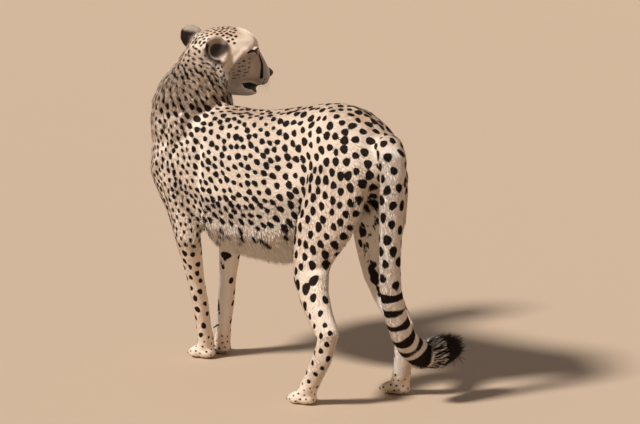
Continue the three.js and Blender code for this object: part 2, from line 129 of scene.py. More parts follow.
def new_object(name, mesh):
    piece = bpy.data.objects.new(name, mesh)
    bpy.context.scene.collection.objects.link(piece)
    return piece


def mesh_from(name, points, faces):
    """A mesh from arrays of points and of faces with one number of corners."""
    mesh = bpy.data.meshes.new(name)
    mesh.from_pydata([], [], [])
    points = np.asarray(points, np.float32)
    faces = np.asarray(faces, np.int32)
    count, corners = faces.shape
    mesh.vertices.add(len(points))
    mesh.vertices.foreach_set("co", points.ravel())
    mesh.loops.add(count * corners)
    mesh.loops.foreach_set("vertex_index", faces.ravel())
    mesh.polygons.add(count)
    mesh.polygons.foreach_set("loop_start", np.arange(0, count * corners, corners, dtype=np.int32))
    mesh.polygons.foreach_set("use_smooth", np.ones(count, bool))
    mesh.update(calc_edges=True)
    mesh.validate()
    return mesh


def applied(piece):
    """The piece's mesh with its modifiers applied; the modifiers are removed."""
    view = bpy.context.evaluated_depsgraph_get()
    mesh = bpy.data.meshes.new_from_object(piece.evaluated_get(view))
    piece.modifiers.clear()
    old = piece.data
    piece.data = mesh
    bpy.data.meshes.remove(old)
    return mesh


def read_points(mesh):
    points = np.empty(len(mesh.vertices) * 3, np.float32)
    mesh.vertices.foreach_get("co", points)
    return points.reshape(-1, 3).astype(float)


def read_edges(mesh):
    edges = np.empty(len(mesh.edges) * 2, np.int32)
    mesh.edges.foreach_get("vertices", edges)
    return edges.reshape(-1, 2)


def read_triangles(mesh):
    mesh.calc_loop_triangles()
    triangles = np.empty(len(mesh.loop_triangles) * 3, np.int32)
    mesh.loop_triangles.foreach_get("vertices", triangles)
    return triangles.reshape(-1, 3)


def write_points(mesh, points):
    mesh.vertices.foreach_set("co", np.asarray(points, np.float32).ravel())
    mesh.update()


def set_field(mesh, name, values):
    """A named value or vector on each point, for the materials."""
    values = np.asarray(values, np.float32)
    kind = "FLOAT_VECTOR" if values.ndim == 2 else "FLOAT"
    field = mesh.attributes.new(name, kind, "POINT")
    field.data.foreach_set("vector" if values.ndim == 2 else "value", values.ravel())


def relaxed(values, edges, rounds, share=1.0):
    """Values spread over the surface: repeated means of neighbours, each point by its own share."""
    count = len(values)
    pairs = np.concatenate([edges, edges[:, ::-1]])
    pairs = pairs[np.argsort(pairs[:, 0], kind="stable")]
    degree = np.bincount(pairs[:, 0], minlength=count)
    starts = np.minimum(np.cumsum(degree) - degree, len(pairs) - 1)
    weight = 1.0 / np.maximum(degree, 1)
    shape = values.shape
    values = values.reshape(count, -1)
    weight = weight[:, None]
    share = np.broadcast_to(np.reshape(share, (-1, 1)), (count, 1))
    for _ in range(rounds):
        mean = np.add.reduceat(values[pairs[:, 1]], starts, axis=0) * weight
        values = values + share * (mean - values)
    return values.reshape(shape)


def point_normals(points, triangles):
    corner = points[triangles]
    face = np.cross(corner[:, 1] - corner[:, 0], corner[:, 2] - corner[:, 0])
    normals = np.zeros_like(points)
    for k in range(3):
        for axis in range(3):
            normals[:, axis] += np.bincount(triangles[:, k], face[:, axis], len(points))
    return unit(normals)


# ------------------------------------------------------------ the head's own frame

# x runs to the head's right, y to its nose and z to its crown, in millimetres from between the ears.
EYE_SEAT = np.array([40.0, 110.0, 4.0])
NOSE_SEAT = np.array([0.0, 183.8, -63.3])
EYE_RADIUS = 18.0
BALL_RADIUS = 17.3        # the eyeball lies a little deeper than its lids


class Head:
    """Turns places between the head's frame and the scene."""

    def __init__(self):
        right_eye, left_eye = middle("eye_right"), middle("eye_left")
        self.right = unit(right_eye - left_eye)
        between = (right_eye + left_eye) / 2
        drop = unit(middle("nose") - between)
        drop = unit(drop - self.right * (drop @ self.right))
        side = np.cross(self.right, drop)
        lean = NOSE_SEAT - EYE_SEAT
        angle = math.atan2(-lean[2], lean[1])
        self.forward = drop * math.cos(angle) + side * math.sin(angle)
        self.up = np.cross(self.right, self.forward)
        self.turn = np.stack([self.right, self.forward, self.up])
        self.origin = between - (self.turn.T @ (EYE_SEAT * (0, 1, 1))) * MM

    def local(self, points):
        return (points - self.origin) @ self.turn.T / MM

    def world(self, places):
        return self.origin + np.asarray(places, float) * MM @ self.turn

    def aim(self, direction):
        return np.asarray(direction, float) @ self.turn


head = Head()

# ------------------------------------------------------------ how the coat lies

# For each region, in millimetres: how deep the coat lies over the skin, the tufts' length and width,
# how high their tips stand, how far apart they grow, and how softly the flesh is rounded.
REGIONS = {
    "face":     dict(depth=1.8, length=5.5, width=1.0, lift=0.75, gap=1.75, soft=0.30),
    "chin":     dict(depth=1.8, length=6.5, width=1.0, lift=0.9, gap=1.8, soft=0.30),
    "ear":      dict(depth=1.2, length=6, width=1.0, lift=1.0, gap=1.8, soft=0.12),
    "neck":     dict(depth=7.0, length=30, width=1.3, lift=5.4, gap=2.45, soft=0.90),
    "chest":    dict(depth=4.0, length=13, width=1.5, lift=1.5, gap=2.45, soft=1.00),
    "loins":    dict(depth=3.6, length=11, width=1.5, lift=1.3, gap=2.5, soft=1.00),
    "shoulder": dict(depth=3.6, length=12, width=1.5, lift=1.4, gap=2.5, soft=0.90),
    "thigh":    dict(depth=3.4, length=11, width=1.5, lift=1.3, gap=2.5, soft=0.90),
    "forearm":  dict(depth=2.2, length=8, width=1.3, lift=1.0, gap=2.3, soft=0.55),
    "shank":    dict(depth=2.2, length=9, width=1.3, lift=1.1, gap=2.3, soft=0.55),
    "paw":      dict(depth=1.2, length=5.5, width=1.1, lift=0.7, gap=2.0, soft=0.25),
    "tail":     dict(depth=4.0, length=13, width=1.6, lift=2.2, gap=2.4, soft=0.80),
    "brush":    dict(depth=13., length=50, width=2.0, lift=13, gap=3.0, soft=0.90),
    "mouth":    dict(depth=0.0, length=3, width=1.0, lift=0.1, gap=3.0, soft=0.30),
}

FINE_REGIONS = ("face", "chin", "ear", "paw", "mouth")

REGION_OF = {
    "head": "face", "jaw": "chin", "ear_right": "ear", "ear_left": "ear", "neck": "neck",
    "trunk_chest": "chest", "trunk_loins": "loins",
    "tail_upper": "tail", "tail_middle": "tail", "tail_lower": "tail", "tail_tip": "brush",
}
for leg in LEGS:
    REGION_OF[f"leg_{leg}_upper"] = "shoulder" if leg.startswith("fore") else "thigh"
    REGION_OF[f"leg_{leg}_lower"] = "forearm" if leg.startswith("fore") else "shank"
    REGION_OF[f"paw_{leg}"] = "paw"
FLESH = list(REGION_OF)
REGION_OF["mouth"] = "mouth"
SOLIDS = FLESH + ["mouth"]          # the flesh nodes, and the inside of the mouth


def long_axis(node):
    """The direction in which a node is longest."""
    points = read_points(NODES[node].data)
    _, _, axes = np.linalg.svd(points - points.mean(0), full_matrices=False)
    return axes[0]


def towards(axis, hint):
    """The axis or its opposite, whichever agrees with the hint."""
    return axis if axis @ np.asarray(hint, float) > 0 else -axis


def coat_lie(node):
    """The way the hair of a node lies."""
    region = REGION_OF[node]
    if region in ("face", "chin", "mouth"):
        return head.aim((0, -1, -0.12))
    if region == "ear":
        return unit(middle(node) - head.world((0, 20, -50)))
    if region in ("forearm", "shank"):
        return towards(long_axis(node), (0, 0, -1))
    if region in ("tail", "brush"):
        hints = {"tail_upper": (0, 0, -1), "tail_middle": (0, 0, -1), "tail_lower": (-0.5, 0, -1)}
        return towards(long_axis(node), hints.get(node, (-1, 0, 0)))
    return unit(np.array({
        "neck": (0.1, 0.25, -1.0), "chest": (0.0, 1.0, -0.35), "loins": (0.0, 1.0, -0.2),
        "shoulder": (0.0, 0.35, -1.0), "thigh": (0.0, 0.2, -1.0), "paw": (0.0, -1.0, -0.25),
    }[region]))


# ------------------------------------------------------------ the skin

VOXEL = 2.5 * MM          # the grid on which the flesh nodes are joined
GROW = 1.0 * MM           # how far each node grows to meet its neighbours across a cut
SKIN_VOXEL = 4.8 * MM     # the even grid of the finished skin; head, ears and paws are twice as fine
FINE_EDGE = 2.0 * MM      # edges longer than this are halved there
FINEST_EDGE = 1.2 * MM    # and round the eyes and the mouth
BODY_ROUNDS = 55          # rounds of rounding, which take the flat facets away

# The middle and the half sizes of the mouth's inside, and of the flesh of the cheeks behind it.
MOUTH_OVAL = ((0, 108, -101), (35, 45, 13))
CHEEK_OVAL = ((0, 82, -95), (44, 27, 17))


def oval(middle_place, half):
    """A ball stretched in the head's frame."""
    body = bmesh.new()
    bmesh.ops.create_icosphere(body, subdivisions=4, radius=1.0)
    for vert in body.verts:
        vert.co = Vector(head.world(np.array(middle_place) + np.array(vert.co) * half))
    return body


def joined_flesh():
    """All flesh nodes, with the eyes' and the nose's seats filled, as one closed mesh on a fine grid."""
    whole = bmesh.new()
    bodies = [merged_copy(node) for node in FLESH + ["eye_right", "eye_left", "nose"]]
    bodies += [oval(*MOUTH_OVAL), oval(*CHEEK_OVAL)]
    for body in bodies:
        body.normal_update()
        shifts = [vert.normal * GROW for vert in body.verts]
        for vert, shift in zip(body.verts, shifts):
            vert.co += shift
        grown = bpy.data.meshes.new("grown")
        body.to_mesh(grown)
        body.free()
        whole.from_mesh(grown)
        bpy.data.meshes.remove(grown)
    mesh = bpy.data.meshes.new("skin")
    whole.to_mesh(mesh)
    whole.free()
    piece = new_object("skin", mesh)
    grid = piece.modifiers.new("grid", "REMESH")
    grid.mode = "VOXEL"
    grid.voxel_size = VOXEL
    applied(piece)
    return piece


class Nearest:
    """Finds the solid whose surface lies nearest to a point."""

    def __init__(self):
        corners, faces, self.owner = [], [], []
        for number, name in enumerate(SOLIDS):
            body = oval(*MOUTH_OVAL) if name == "mouth" else merged_copy(name)
            bmesh.ops.triangulate(body, faces=body.faces)
            start = len(corners)
            corners.extend(vert.co.copy() for vert in body.verts)
            faces.extend([start + vert.index for vert in face.verts] for face in body.faces)
            self.owner.extend([number] * len(body.faces))
            body.free()
        self.tree = BVHTree.FromPolygons(corners, faces)

    def node_numbers(self, points):
        return np.array([self.owner[self.tree.find_nearest(p)[2]] for p in points.tolist()])


nearest = Nearest()


def by_region(numbers, key):
    """A region value for each point, from the number of its nearest node."""
    table = np.array([REGIONS[REGION_OF[name]][key] for name in SOLIDS], float)
    return table[numbers]


def even_skin(fine):
    """An even mesh laid onto the fine one, with smaller faces on the head, the ears and the paws."""
    piece = new_object("skin", fine.data.copy())
    grid = piece.modifiers.new("grid", "REMESH")
    grid.mode = "VOXEL"
    grid.voxel_size = SKIN_VOXEL
    mesh = applied(piece)
    write_points(mesh, relaxed(read_points(mesh), read_edges(mesh), 2, 0.5))
    numbers = nearest.node_numbers(read_points(mesh))
    small = np.isin(numbers, [k for k, name in enumerate(SOLIDS) if REGION_OF[name] in FINE_REGIONS])
    split_edges(mesh, small, FINE_EDGE)
    tree = BVHTree.FromPolygons(read_points(fine.data).tolist(), read_triangles(fine.data).tolist())
    hits = [tree.find_nearest(place)[0] for place in read_points(mesh).tolist()]
    write_points(mesh, np.array(hits))
    old = fine.data
    bpy.data.objects.remove(fine)
    bpy.data.meshes.remove(old)
    return piece


def split_edges(mesh, chosen, shortest):
    """Splits the faces between the chosen points into smaller triangles."""
    body = bmesh.new()
    body.from_mesh(mesh)
    edges = [edge for edge in body.edges
             if all(chosen[vert.index] for vert in edge.verts) and edge.calc_length() > shortest]
    bmesh.ops.subdivide_edges(body, edges=edges, cuts=1, use_grid_fill=True)
    bmesh.ops.triangulate(body, faces=body.faces)
    body.to_mesh(mesh)
    body.free()
    mesh.update()


# Forms of the body. Each is a node, a path in fractions of that node's box (the first fraction runs from
# the side towards the other leg to the outer side), its half width in millimetres and how far it stands out.
FORMS = [
    ("leg_fore_{side}_upper", [(0.9, 0.78, 1.00), (1.0, 0.62, 0.78), (1.0, 0.34, 0.55)], 13, 4.0),
    ("leg_fore_{side}_upper", [(1.0, 0.20, 0.50)], 34, 4.5),
    ("leg_fore_{side}_upper", [(1.0, 0.70, 0.62), (1.0, 0.66, 0.40)], 34, 6.0),
    ("leg_fore_{side}_upper", [(0.9, 1.06, 1.00), (1.0, 1.06, 0.60), (0.9, 0.98, 0.25)], 17, -6.0),
    ("leg_fore_{side}_upper", [(1.0, 0.46, 0.50), (1.0, 0.60, 0.16)], 11, -3.5),
    ("leg_fore_{side}_upper", [(0.8, 0.98, 0.10)], 20, 4.0),
    ("leg_fore_{side}_upper", [(0.94, 0.38, 0.94), (0.94, 0.40, 0.72), (1.0, 0.46, 0.52)], 58, 8.0),
    ("leg_hind_{side}_upper", [(0.9, 0.08, 1.10), (1.0, -0.02, 0.82), (0.9, -0.08, 0.55)], 20, -7.0),
    ("leg_hind_{side}_upper", [(0.9, 0.20, 1.05), (1.0, 0.12, 0.80), (0.9, 0.04, 0.50)], 20, 4.5),
    ("leg_hind_{side}_upper", [(0.9, 0.62, 0.98)], 32, 4.0),
    ("leg_hind_{side}_upper", [(1.0, 0.50, 0.84), (1.0, 0.36, 0.25)], 14, -3.5),
    ("leg_hind_{side}_upper", [(1.0, 0.76, 0.70), (1.0, 0.60, 0.25)], 30, 3.5),
    ("leg_hind_{side}_upper", [(0.9, 0.88, 0.62), (0.9, 0.66, 0.20)], 12, -2.5),
    ("leg_hind_{side}_upper", [(0.5, 0.02, 0.20)], 26, 3.0),
    ("trunk_loins", [(0.75, 0.46, 0.92)], 26, 5.0),
    ("trunk_loins", [(0.80, -0.10, 0.86), (0.76, 0.36, 0.92)], 22, -3.0),
    ("trunk_loins", [(1.0, 0.18, 0.60)], 55, -6.0),
]
FORM_STRENGTH = 1.2       # all forms are raised by this share
APART = 1e-6              # keeps the path of a single place from having no length
TOE_RISE = 5.0
TOE_HALF = 7.0 * MM
TOE_FROM = 6 * MM         # a toe runs from here to there behind the middle of its claw
TOE_TO = 30 * MM
SPINE_RISE = 3.0
SPINE_HALF = 9 * MM
NAPE = middle("neck") + (0.02, 0.06, 0.05)
NAPE_REACH = (0.09, 0.09, 0.12)
NAPE_DEPTH = 3.0          # the coat lies this much deeper on the nape


def box_place(node, fractions, side):
    """A place given in fractions of a node's box; side -1 counts the first fraction from the right."""
    low, high = (np.array(corner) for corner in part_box(node))
    across, along, up = fractions
    return low + (high - low) * (across if side > 0 else 1 - across, along, up)


def toe_path(leg, toe):
    """The line along the top of a toe, from its claw to the foot."""
    tip = middle(f"claw_{leg}_{toe}")
    back = unit((middle(f"paw_{leg}") - tip) * (1, 1, 0))
    return np.array([tip + back * TOE_FROM, tip + back * TOE_TO + (0, 0, 4 * MM)])


def body_forms(points):
    """How far the muscles and bones push each point of the skin out, in millimetres."""
    push = np.zeros(len(points))
    for name, path, width, height in FORMS:
        for word, side in (("left", 1), ("right", -1)):
            places = [box_place(name.format(side=word), fractions, side) for fractions in path]
            places = places * 2 if len(places) == 1 else places
            away = line_distance(points, np.array(places) + np.arange(len(places))[:, None] * APART) / MM
            push += FORM_STRENGTH * height * np.exp(-(away / width) ** 2)
    for leg, toe in itertools.product(LEGS, TOES):
        push += TOE_RISE * np.exp(-(line_distance(points, toe_path(leg, toe)) / TOE_HALF) ** 2)
    centre = middle("trunk_loins")[0]
    ridge = np.exp(-((points[:, 0] - centre) / SPINE_HALF) ** 2) * fade(points[:, 2], 0.68, 0.74)
    push += SPINE_RISE * ridge * fade(points[:, 1], -0.30, -0.15) * fade(points[:, 1], 0.42, 0.33)
    return push


def make_skin():
    """The bare body: joined, rounded and drawn in by the coat's depth."""
    piece = joined_flesh()
    mesh = piece.data
    points, edges = read_points(mesh), read_edges(mesh)
    numbers = nearest.node_numbers(points)
    soft = relaxed(by_region(numbers, "soft"), edges, 12)
    depth = relaxed(by_region(numbers, "depth"), edges, 25) + NAPE_DEPTH * near(points, NAPE, NAPE_REACH)
    rough = points
    points = relaxed(points, edges, BODY_ROUNDS, soft)
    normals = point_normals(points, read_triangles(mesh))
    lost = relaxed(dot(rough - points, normals)[:, 0], edges, BODY_ROUNDS)
    points = points + normals * (lost - GROW + (body_forms(points) - depth) * MM)[:, None]
    write_points(mesh, points)
    return even_skin(piece)


# ------------------------------------------------------------ shaping the head

REFINE_REACH = 27.0       # millimetres round each eye in which the skin is made finer
LINE_REACH = 8.0          # and beside the lips and the tear lines
OPENING_WIDTH = 14.8      # half the length of the eye's opening
UPPER_LID = 7.4
LOWER_LID = 6.4
HEAD_MIDDLE = (0, 60, -30)
HEAD_REACH = 190          # the points that are shaped with the head lie this near to its middle

# Lines of the right half of the face. The left half has the same, mirrored.
UPPER_LIP = [(0, 173, -97), (6, 171, -100), (15, 166, -103), (24, 156, -104), (31, 143, -101),
             (36, 126, -96), (39, 108, -90)]
LOWER_LIP = [(0, 156, -117), (12, 154, -117), (24, 145, -114), (32, 132, -108), (36, 119, -100),
             (39, 108, -91)]
TEAR = [(24, 125, 1), (28, 134, -14), (31, 143, -32), (34, 146, -50), (36, 148, -70)]
OUTER_CORNER = [(54, 106, 9), (62, 97, 9), (68, 88, 4)]
CHEEK_EDGE = [(6, -90), (16, -66), (42, -24), (70, 4), (101, 15)]    # forward and up: where the ruff ends
CHEEK_SLOPE = 0.72        # turns a height below that edge into the distance from it

# Forms of the head: how far each stands out, its place and its reach.
HEAD_FORMS = [
    (2.5, (26, 136, 24), (13, 12, 8)),        # brow
    (-3.0, (22, 140, -8), (8, 14, 14)),       # beside the bridge of the nose
    (3.0, (26, 166, -82), (13, 16, 13)),      # whisker pad
    (-2.4, (42, 142, -58), (12, 14, 14)),     # hollow behind the pad
    (3.0, (60, 94, -40), (14, 24, 16)),       # cheek bone
    (1.5, (9, 158, -124), (10, 8, 7)),        # chin
    (4.5, (16, 66, 62), (34, 62, 26)),        # crown
    (-5.0, (8, 188, -66), (9, 10, 8)),        # behind the nostrils
]
RUFF_RISE = 2.4
FACE_HOLLOW = 7.0         # how far the side of the face is set back from the cheek's ruff


def mirrored(places, side):
    """Places of the right half, laid on the given side."""
    return np.asarray(places, float) * (side, 1, 1)


def eye_frame(side):
    """The eye's centre, and its axes: to the outer corner, up, and out of the opening."""
    centre = mirrored(EYE_SEAT, side)
    out = unit(mirrored((0.50, 0.86, 0.08), side))
    corner = unit(mirrored((0.85, -0.50, 0.26), side))
    corner = unit(corner - out * (corner @ out))
    up = np.cross(corner, out) * side
    return centre, np.stack([corner, up, out])


def opening(places):
    """How far outside the nearer eye's opening each place lies, in millimetres; inside is below zero."""
    best = np.full(len(places), FAR)
    for side in SIDES.values():
        centre, turn = eye_frame(side)
        along, up, out = ((places - centre) @ turn.T).T
        inside = np.sqrt(np.clip(1 - (along / OPENING_WIDTH) ** 2, 0, 1)) ** 1.5
        gap = np.maximum(up - UPPER_LID * inside, -up - LOWER_LID * inside)
        gap = np.maximum(gap, np.abs(along) - OPENING_WIDTH)
        best = np.where(out > 0, np.minimum(best, gap), best)
    return best


def folded(places):
    """Places with the head's left side laid on its right."""
    return np.concatenate([np.abs(places[:, :1]), places[:, 1:]], axis=1)


def cheek_edge(forward):
    """The height of the cheek's edge at a place along the head."""
    return np.interp(forward, *np.array(CHEEK_EDGE, float).T)


def below_cheek(both):
    """Millimetres below the cheek's edge."""
    return (cheek_edge(both[:, 1]) - both[:, 2]) * CHEEK_SLOPE


def head_forms(places):
    """How far the forms of the head push each place of its skin out, in millimetres."""
    both = folded(places)
    push = np.zeros(len(places))
    for height, at, reach in HEAD_FORMS:
        push += height * near(both, at, reach)
    under = below_cheek(both)
    side = fade(both[:, 0], 18, 34) * fade(both[:, 2], -100, -86) * (1 - fade(both[:, 1], 116, 138))
    side *= fade(both[:, 1], 2, 20) * fade(np.linalg.norm(both - EYE_SEAT, axis=1), 21, 36)
    push += RUFF_RISE * np.exp(-((under + 3) / 6.5) ** 2) * side
    push -= FACE_HOLLOW * fade(under, 0, 15) * (1 - fade(under, 30, 62)) * side
    front = fade(both[:, 1], 100, 120)
    for path, height in ((UPPER_LIP, 1.6), (LOWER_LIP, 1.8)):     # the lips' rolled edges
        push += height * np.exp(-((line_distance(both, path) - 1.0) / 2.6) ** 2) * front
    split = np.exp(-(places[:, 0] / 1.6) ** 2) * fade(places[:, 1], 168, 176) * fade(-places[:, 2], 72, 80)
    return push - 2.4 * split                                     # the groove under the nose


def press_lids(places):
    """Draws the skin round each eye into lids, and sinks what lies inside its opening."""
    gap = opening(places)
    for side in SIDES.values():
        centre, turn = eye_frame(side)
        spoke = places - centre
        reach = np.linalg.norm(spoke, axis=1)
        out = spoke @ turn[2]
        lid = EYE_RADIUS + 2.2 * fade(gap, -0.2, 1.4) - 1.0 * fade(gap, 2.0, 6.0)
        wanted = np.where(gap < 0, np.minimum(reach, EYE_RADIUS - 2.5), np.maximum(reach, lid))
        close = (reach < EYE_RADIUS + 9) & (out > -4) & (gap < 16)
        wanted = np.where(close, wanted, reach)
        places = centre + spoke / reach[:, None] * wanted[:, None]
    return places


def shape_head(points, normals):
    """Sockets, lids, mouth, muzzle and brow, pressed into the skin of the head."""
    places = head.local(points)
    places = places + (normals @ head.turn.T) * head_forms(places)[:, None]
    return head.world(press_lids(places))


def refine(mesh):
    """Makes the skin finer round the eyes, the mouth and the tear lines."""
    both = folded(head.local(read_points(mesh)))
    eye = np.linalg.norm(both - EYE_SEAT, axis=1) < REFINE_REACH
    lips = np.minimum(line_distance(both, UPPER_LIP), line_distance(both, LOWER_LIP))
    lines = np.minimum(lips, line_distance(both, TEAR))
    split_edges(mesh, eye | (lines < LINE_REACH), FINEST_EDGE)


def finish_skin():
    """The finished skin: body and head in shape, still without its fields and its finish."""
    piece = make_skin()
    mesh = piece.data
    refine(mesh)
    points, triangles = read_points(mesh), read_triangles(mesh)
    normals = point_normals(points, triangles)
    on_head = np.linalg.norm(head.local(points) - HEAD_MIDDLE, axis=1) < HEAD_REACH
    points[on_head] = shape_head(points[on_head], normals[on_head])
    write_points(mesh, points)
    mesh.polygons.foreach_set("use_smooth", np.ones(len(mesh.polygons), bool))
    return piece


# ------------------------------------------------------------ what each place of the skin is like


FRINGE_FROM = -0.36       # the belly's fringe begins behind the forelegs


class Surface:
    """The skin's points with everything that the coat needs to know of them."""

    def __init__(self, mesh):
        self.points = read_points(mesh)
        self.edges = read_edges(mesh)
        self.triangles = read_triangles(mesh)
        self.normals = point_normals(self.points, self.triangles)
        self.numbers = nearest.node_numbers(self.points)
        self.height = self.points[:, 2]
        self.places = head.local(self.points)
        self.both = folded(self.places)
        lies = np.array([coat_lie(name) for name in SOLIDS])[self.numbers]
        self.flow = self.settle(relaxed(self.add_turns(lies), self.edges, 45))
        self.values = {key: relaxed(by_region(self.numbers, key), self.edges, 22)
                       for key in ("length", "width", "lift", "gap")}
        self.hang = np.zeros(len(self.points))
        self.in_mouth = self.find_mouth()
        neck = (self.numbers == SOLIDS.index("neck")).astype(float)
        self.mane = relaxed(neck, self.edges, 70)
        self.member = {name: relaxed((self.numbers == k).astype(float), self.edges, 8)
                       for k, name in enumerate(SOLIDS)}

    def find_mouth(self):
        """True on the skin between the lips."""
        x, y, z = self.both.T
        upper, lower = np.array(UPPER_LIP[::-1]).T, np.array(LOWER_LIP[::-1]).T
        beside = np.interp(y, upper[1], upper[0])
        above, below = np.interp(y, upper[1], upper[2]), np.interp(y, lower[1], lower[2])
        inside = (x < beside) & (z < above + 1) & (z > below - 0.5) & (y > 76) & (y < 172)
        inside |= (self.numbers == SOLIDS.index("mouth")) & (y > 92) & (z < above + 8)
        return inside & (self.numbers != SOLIDS.index("neck"))

    def grow_fringes(self):
        """Longer, hanging hair at belly, thighs, hocks and elbows; shorter hair at the neck's ends."""
        under = self.of_regions("chest", "loins") * fade(-self.normals[:, 2], 0.05, 0.55)
        under *= fade(self.points[:, 1], FRINGE_FROM, FRINGE_FROM + 0.10)
        thigh = self.of_regions("thigh") * fade(self.normals[:, 1], 0.45, 0.9) * fade(self.height, 0.33, 0.42)
        hock = self.of_regions("shank") * fade(self.normals[:, 1], 0.5, 0.9)
        elbow = self.of_regions("shoulder") * fade(self.normals[:, 1], 0.3, 0.9)
        short = np.maximum(fade(self.height, 0.815, 0.87), 1 - fade(self.height, 0.71, 0.79))
        short = self.weight("neck") * short
        tip = self.weight("tail_tip")
        self.values["length"] += 24 * under + 14 * thigh + 5 * hock + 7 * elbow - 14 * short
        self.values["width"] += 0.5 * under + 0.3 * thigh
        self.values["lift"] += 7.0 * under + 3.5 * thigh + 1.2 * hock + 1.5 * elbow - 3.8 * short
        self.hang = 1.5 * under + 0.4 * thigh - 0.4 * tip

    def weight(self, *nodes):
        return sum(self.member[node] for node in nodes)

    def of_regions(self, *names):
        return sum(weight for node, weight in self.member.items() if REGION_OF[node] in names)

    def add_turns(self, lies):
        """The belly's and the neck's own hair directions."""
        trunk = np.isin(self.numbers, [FLESH.index("trunk_chest"), FLESH.index("trunk_loins")])
        low = fade(-self.normals[:, 2], 0.1, 0.7) * trunk
        lies = lies + low[:, None] * (0.0, 0.3, -0.6)
        neck = self.numbers == FLESH.index("neck")
        return lies + neck[:, None] * 0.6 * head.forward

    def settle(self, lies):
        """Directions laid into the surface."""
        return unit(lies - dot(lies, self.normals) * self.normals)


# ------------------------------------------------------------ spots

# Spacing, half length along the hair and half width across it, in millimetres.
SPOTS = {
    "face": (12.0, 5.0, 4.0), "chin": (15, 2.2, 1.6), "ear": (18, 2.0, 1.6), "neck": (19, 9.8, 4.4),
    "chest": (25.4, 10.8, 8.4), "loins": (29.0, 12.1, 10.1), "shoulder": (19.2, 7.6, 5.6),
    "thigh": (30.5, 12.6, 11.2), "forearm": (29, 9.4, 7.4), "shank": (31, 8.2, 6.8),
    "paw": (17, 3.4, 2.8), "tail": (36, 13.0, 11.5), "brush": (60, 8.0, 8.0), "mouth": (60, 1.0, 1.0),
}
SPOT_SEED = 11
DARTS = 120_000
DART_CELL = 40.0          # the darts are looked up in cells of this many millimetres
EVENING_ROUNDS = 1
SLACK = 0.36              # spots keep farther apart along the hair than across it
CROWDING = 0.75           # darts keep this share of the spacing clear, which fills the coat evenly


def spot_table(column):
    return np.array([SPOTS[REGION_OF[name]][column] for name in SOLIDS], float)


def pick_places(surface, weight, count, rng):
    """Random places on the skin: for each its triangle and its share of the three corners."""
    corner = surface.points[surface.triangles]
    area = np.linalg.norm(np.cross(corner[:, 1] - corner[:, 0], corner[:, 2] - corner[:, 0]), axis=1) / 2
    total = np.cumsum(area * weight[surface.triangles].mean(1))
    if count is None:
        count = int(total[-1])
    steps = (np.arange(count) + rng.random(count)) / count * total[-1]
    faces = np.minimum(np.searchsorted(total, steps), len(total) - 1)
    a, b = rng.random(count), rng.random(count)
    flip = a + b > 1
    a, b = np.where(flip, 1 - a, a), np.where(flip, 1 - b, b)
    return faces, np.stack([1 - a - b, a, b], axis=1)


def spread(surface, values, faces, shares):
    """Values of the skin's points, read at places inside its triangles."""
    corner = values[surface.triangles[faces]]
    if values.ndim == 1:
        return np.sum(corner * shares, axis=1)
    return np.sum(corner * shares[:, :, None], axis=1)


def evened(places, kept):
    """Moves each kept place to the middle of the places nearest to it, so that the gaps become even."""
    for _ in range(EVENING_ROUNDS):
        tree = kdtree.KDTree(len(kept))
        for number, place in enumerate(places[kept].tolist()):
            tree.insert(place, number)
        tree.balance()
        owner = np.array([tree.find(place)[1] for place in places.tolist()])
        total = np.stack([np.bincount(owner, places[:, axis], len(kept)) for axis in range(3)], axis=1)
        mean = total / np.bincount(owner, minlength=len(kept))[:, None]
        away = np.linalg.norm(places - mean[owner], axis=1)
        order = np.lexsort((away, owner))
        _, first = np.unique(owner[order], return_index=True)
        kept = order[first]
    return kept


def thrown(places, space, lies):
    """The numbers of the darts, thrown one by one, that find room between those before them."""
    steps = list(itertools.product((-1, 0, 1), repeat=3))
    grid = {}
    kept = []
    for number, (x, y, z) in enumerate((places // DART_CELL).astype(int).tolist()):
        place, room, lie = places[number], space[number], lies[number]
        others = (other for dx, dy, dz in steps for other in grid.get((x + dx, y + dy, z + dz), ()))
        if all(clear(place - other, lie, 0.5 * (room + reach)) for other, reach in others):
            grid.setdefault((x, y, z), []).append((place, room))
            kept.append(number)
    return np.array(kept)


def clear(away, lie, reach):
    """Whether a way between two spots is long enough; along the hair it counts for less."""
    return away @ away - SLACK * (away @ lie) ** 2 >= reach ** 2


def spot_sizes(surface):
    """Spacing, half length and half width of the spots at each point of the skin."""
    spacing, along, across = (relaxed(spot_table(column)[surface.numbers], surface.edges, 6)
                              for column in range(3))
    spine = surface.of_regions("chest", "loins") * fade(surface.normals[:, 2], 0.55, 0.95)
    calf = surface.weight("leg_hind_left_lower", "leg_hind_right_lower") * fade(surface.height, 0.22, 0.33)
    ruff = surface.weight("neck") * (1 - fade(surface.height, 0.70, 0.80))
    nape = surface.weight("neck") * fade(surface.height, 0.79, 0.86)
    rump = surface.weight("trunk_loins") * fade(surface.points[:, 1], 0.26, 0.34)
    spacing = (spacing + 8 * calf + 4 * ruff - 3.0 * nape + 2.0 * rump) * (1 - 0.14 * spine) * CROWDING
    along = (along + 6.6 * calf - 2.4 * nape + 1.4 * rump) * (1 - 0.06 * spine)
    across = (across + 6.0 * calf + 2.8 * ruff + 1.4 * rump) * (1 - 0.22 * spine)
    return spacing, along, across


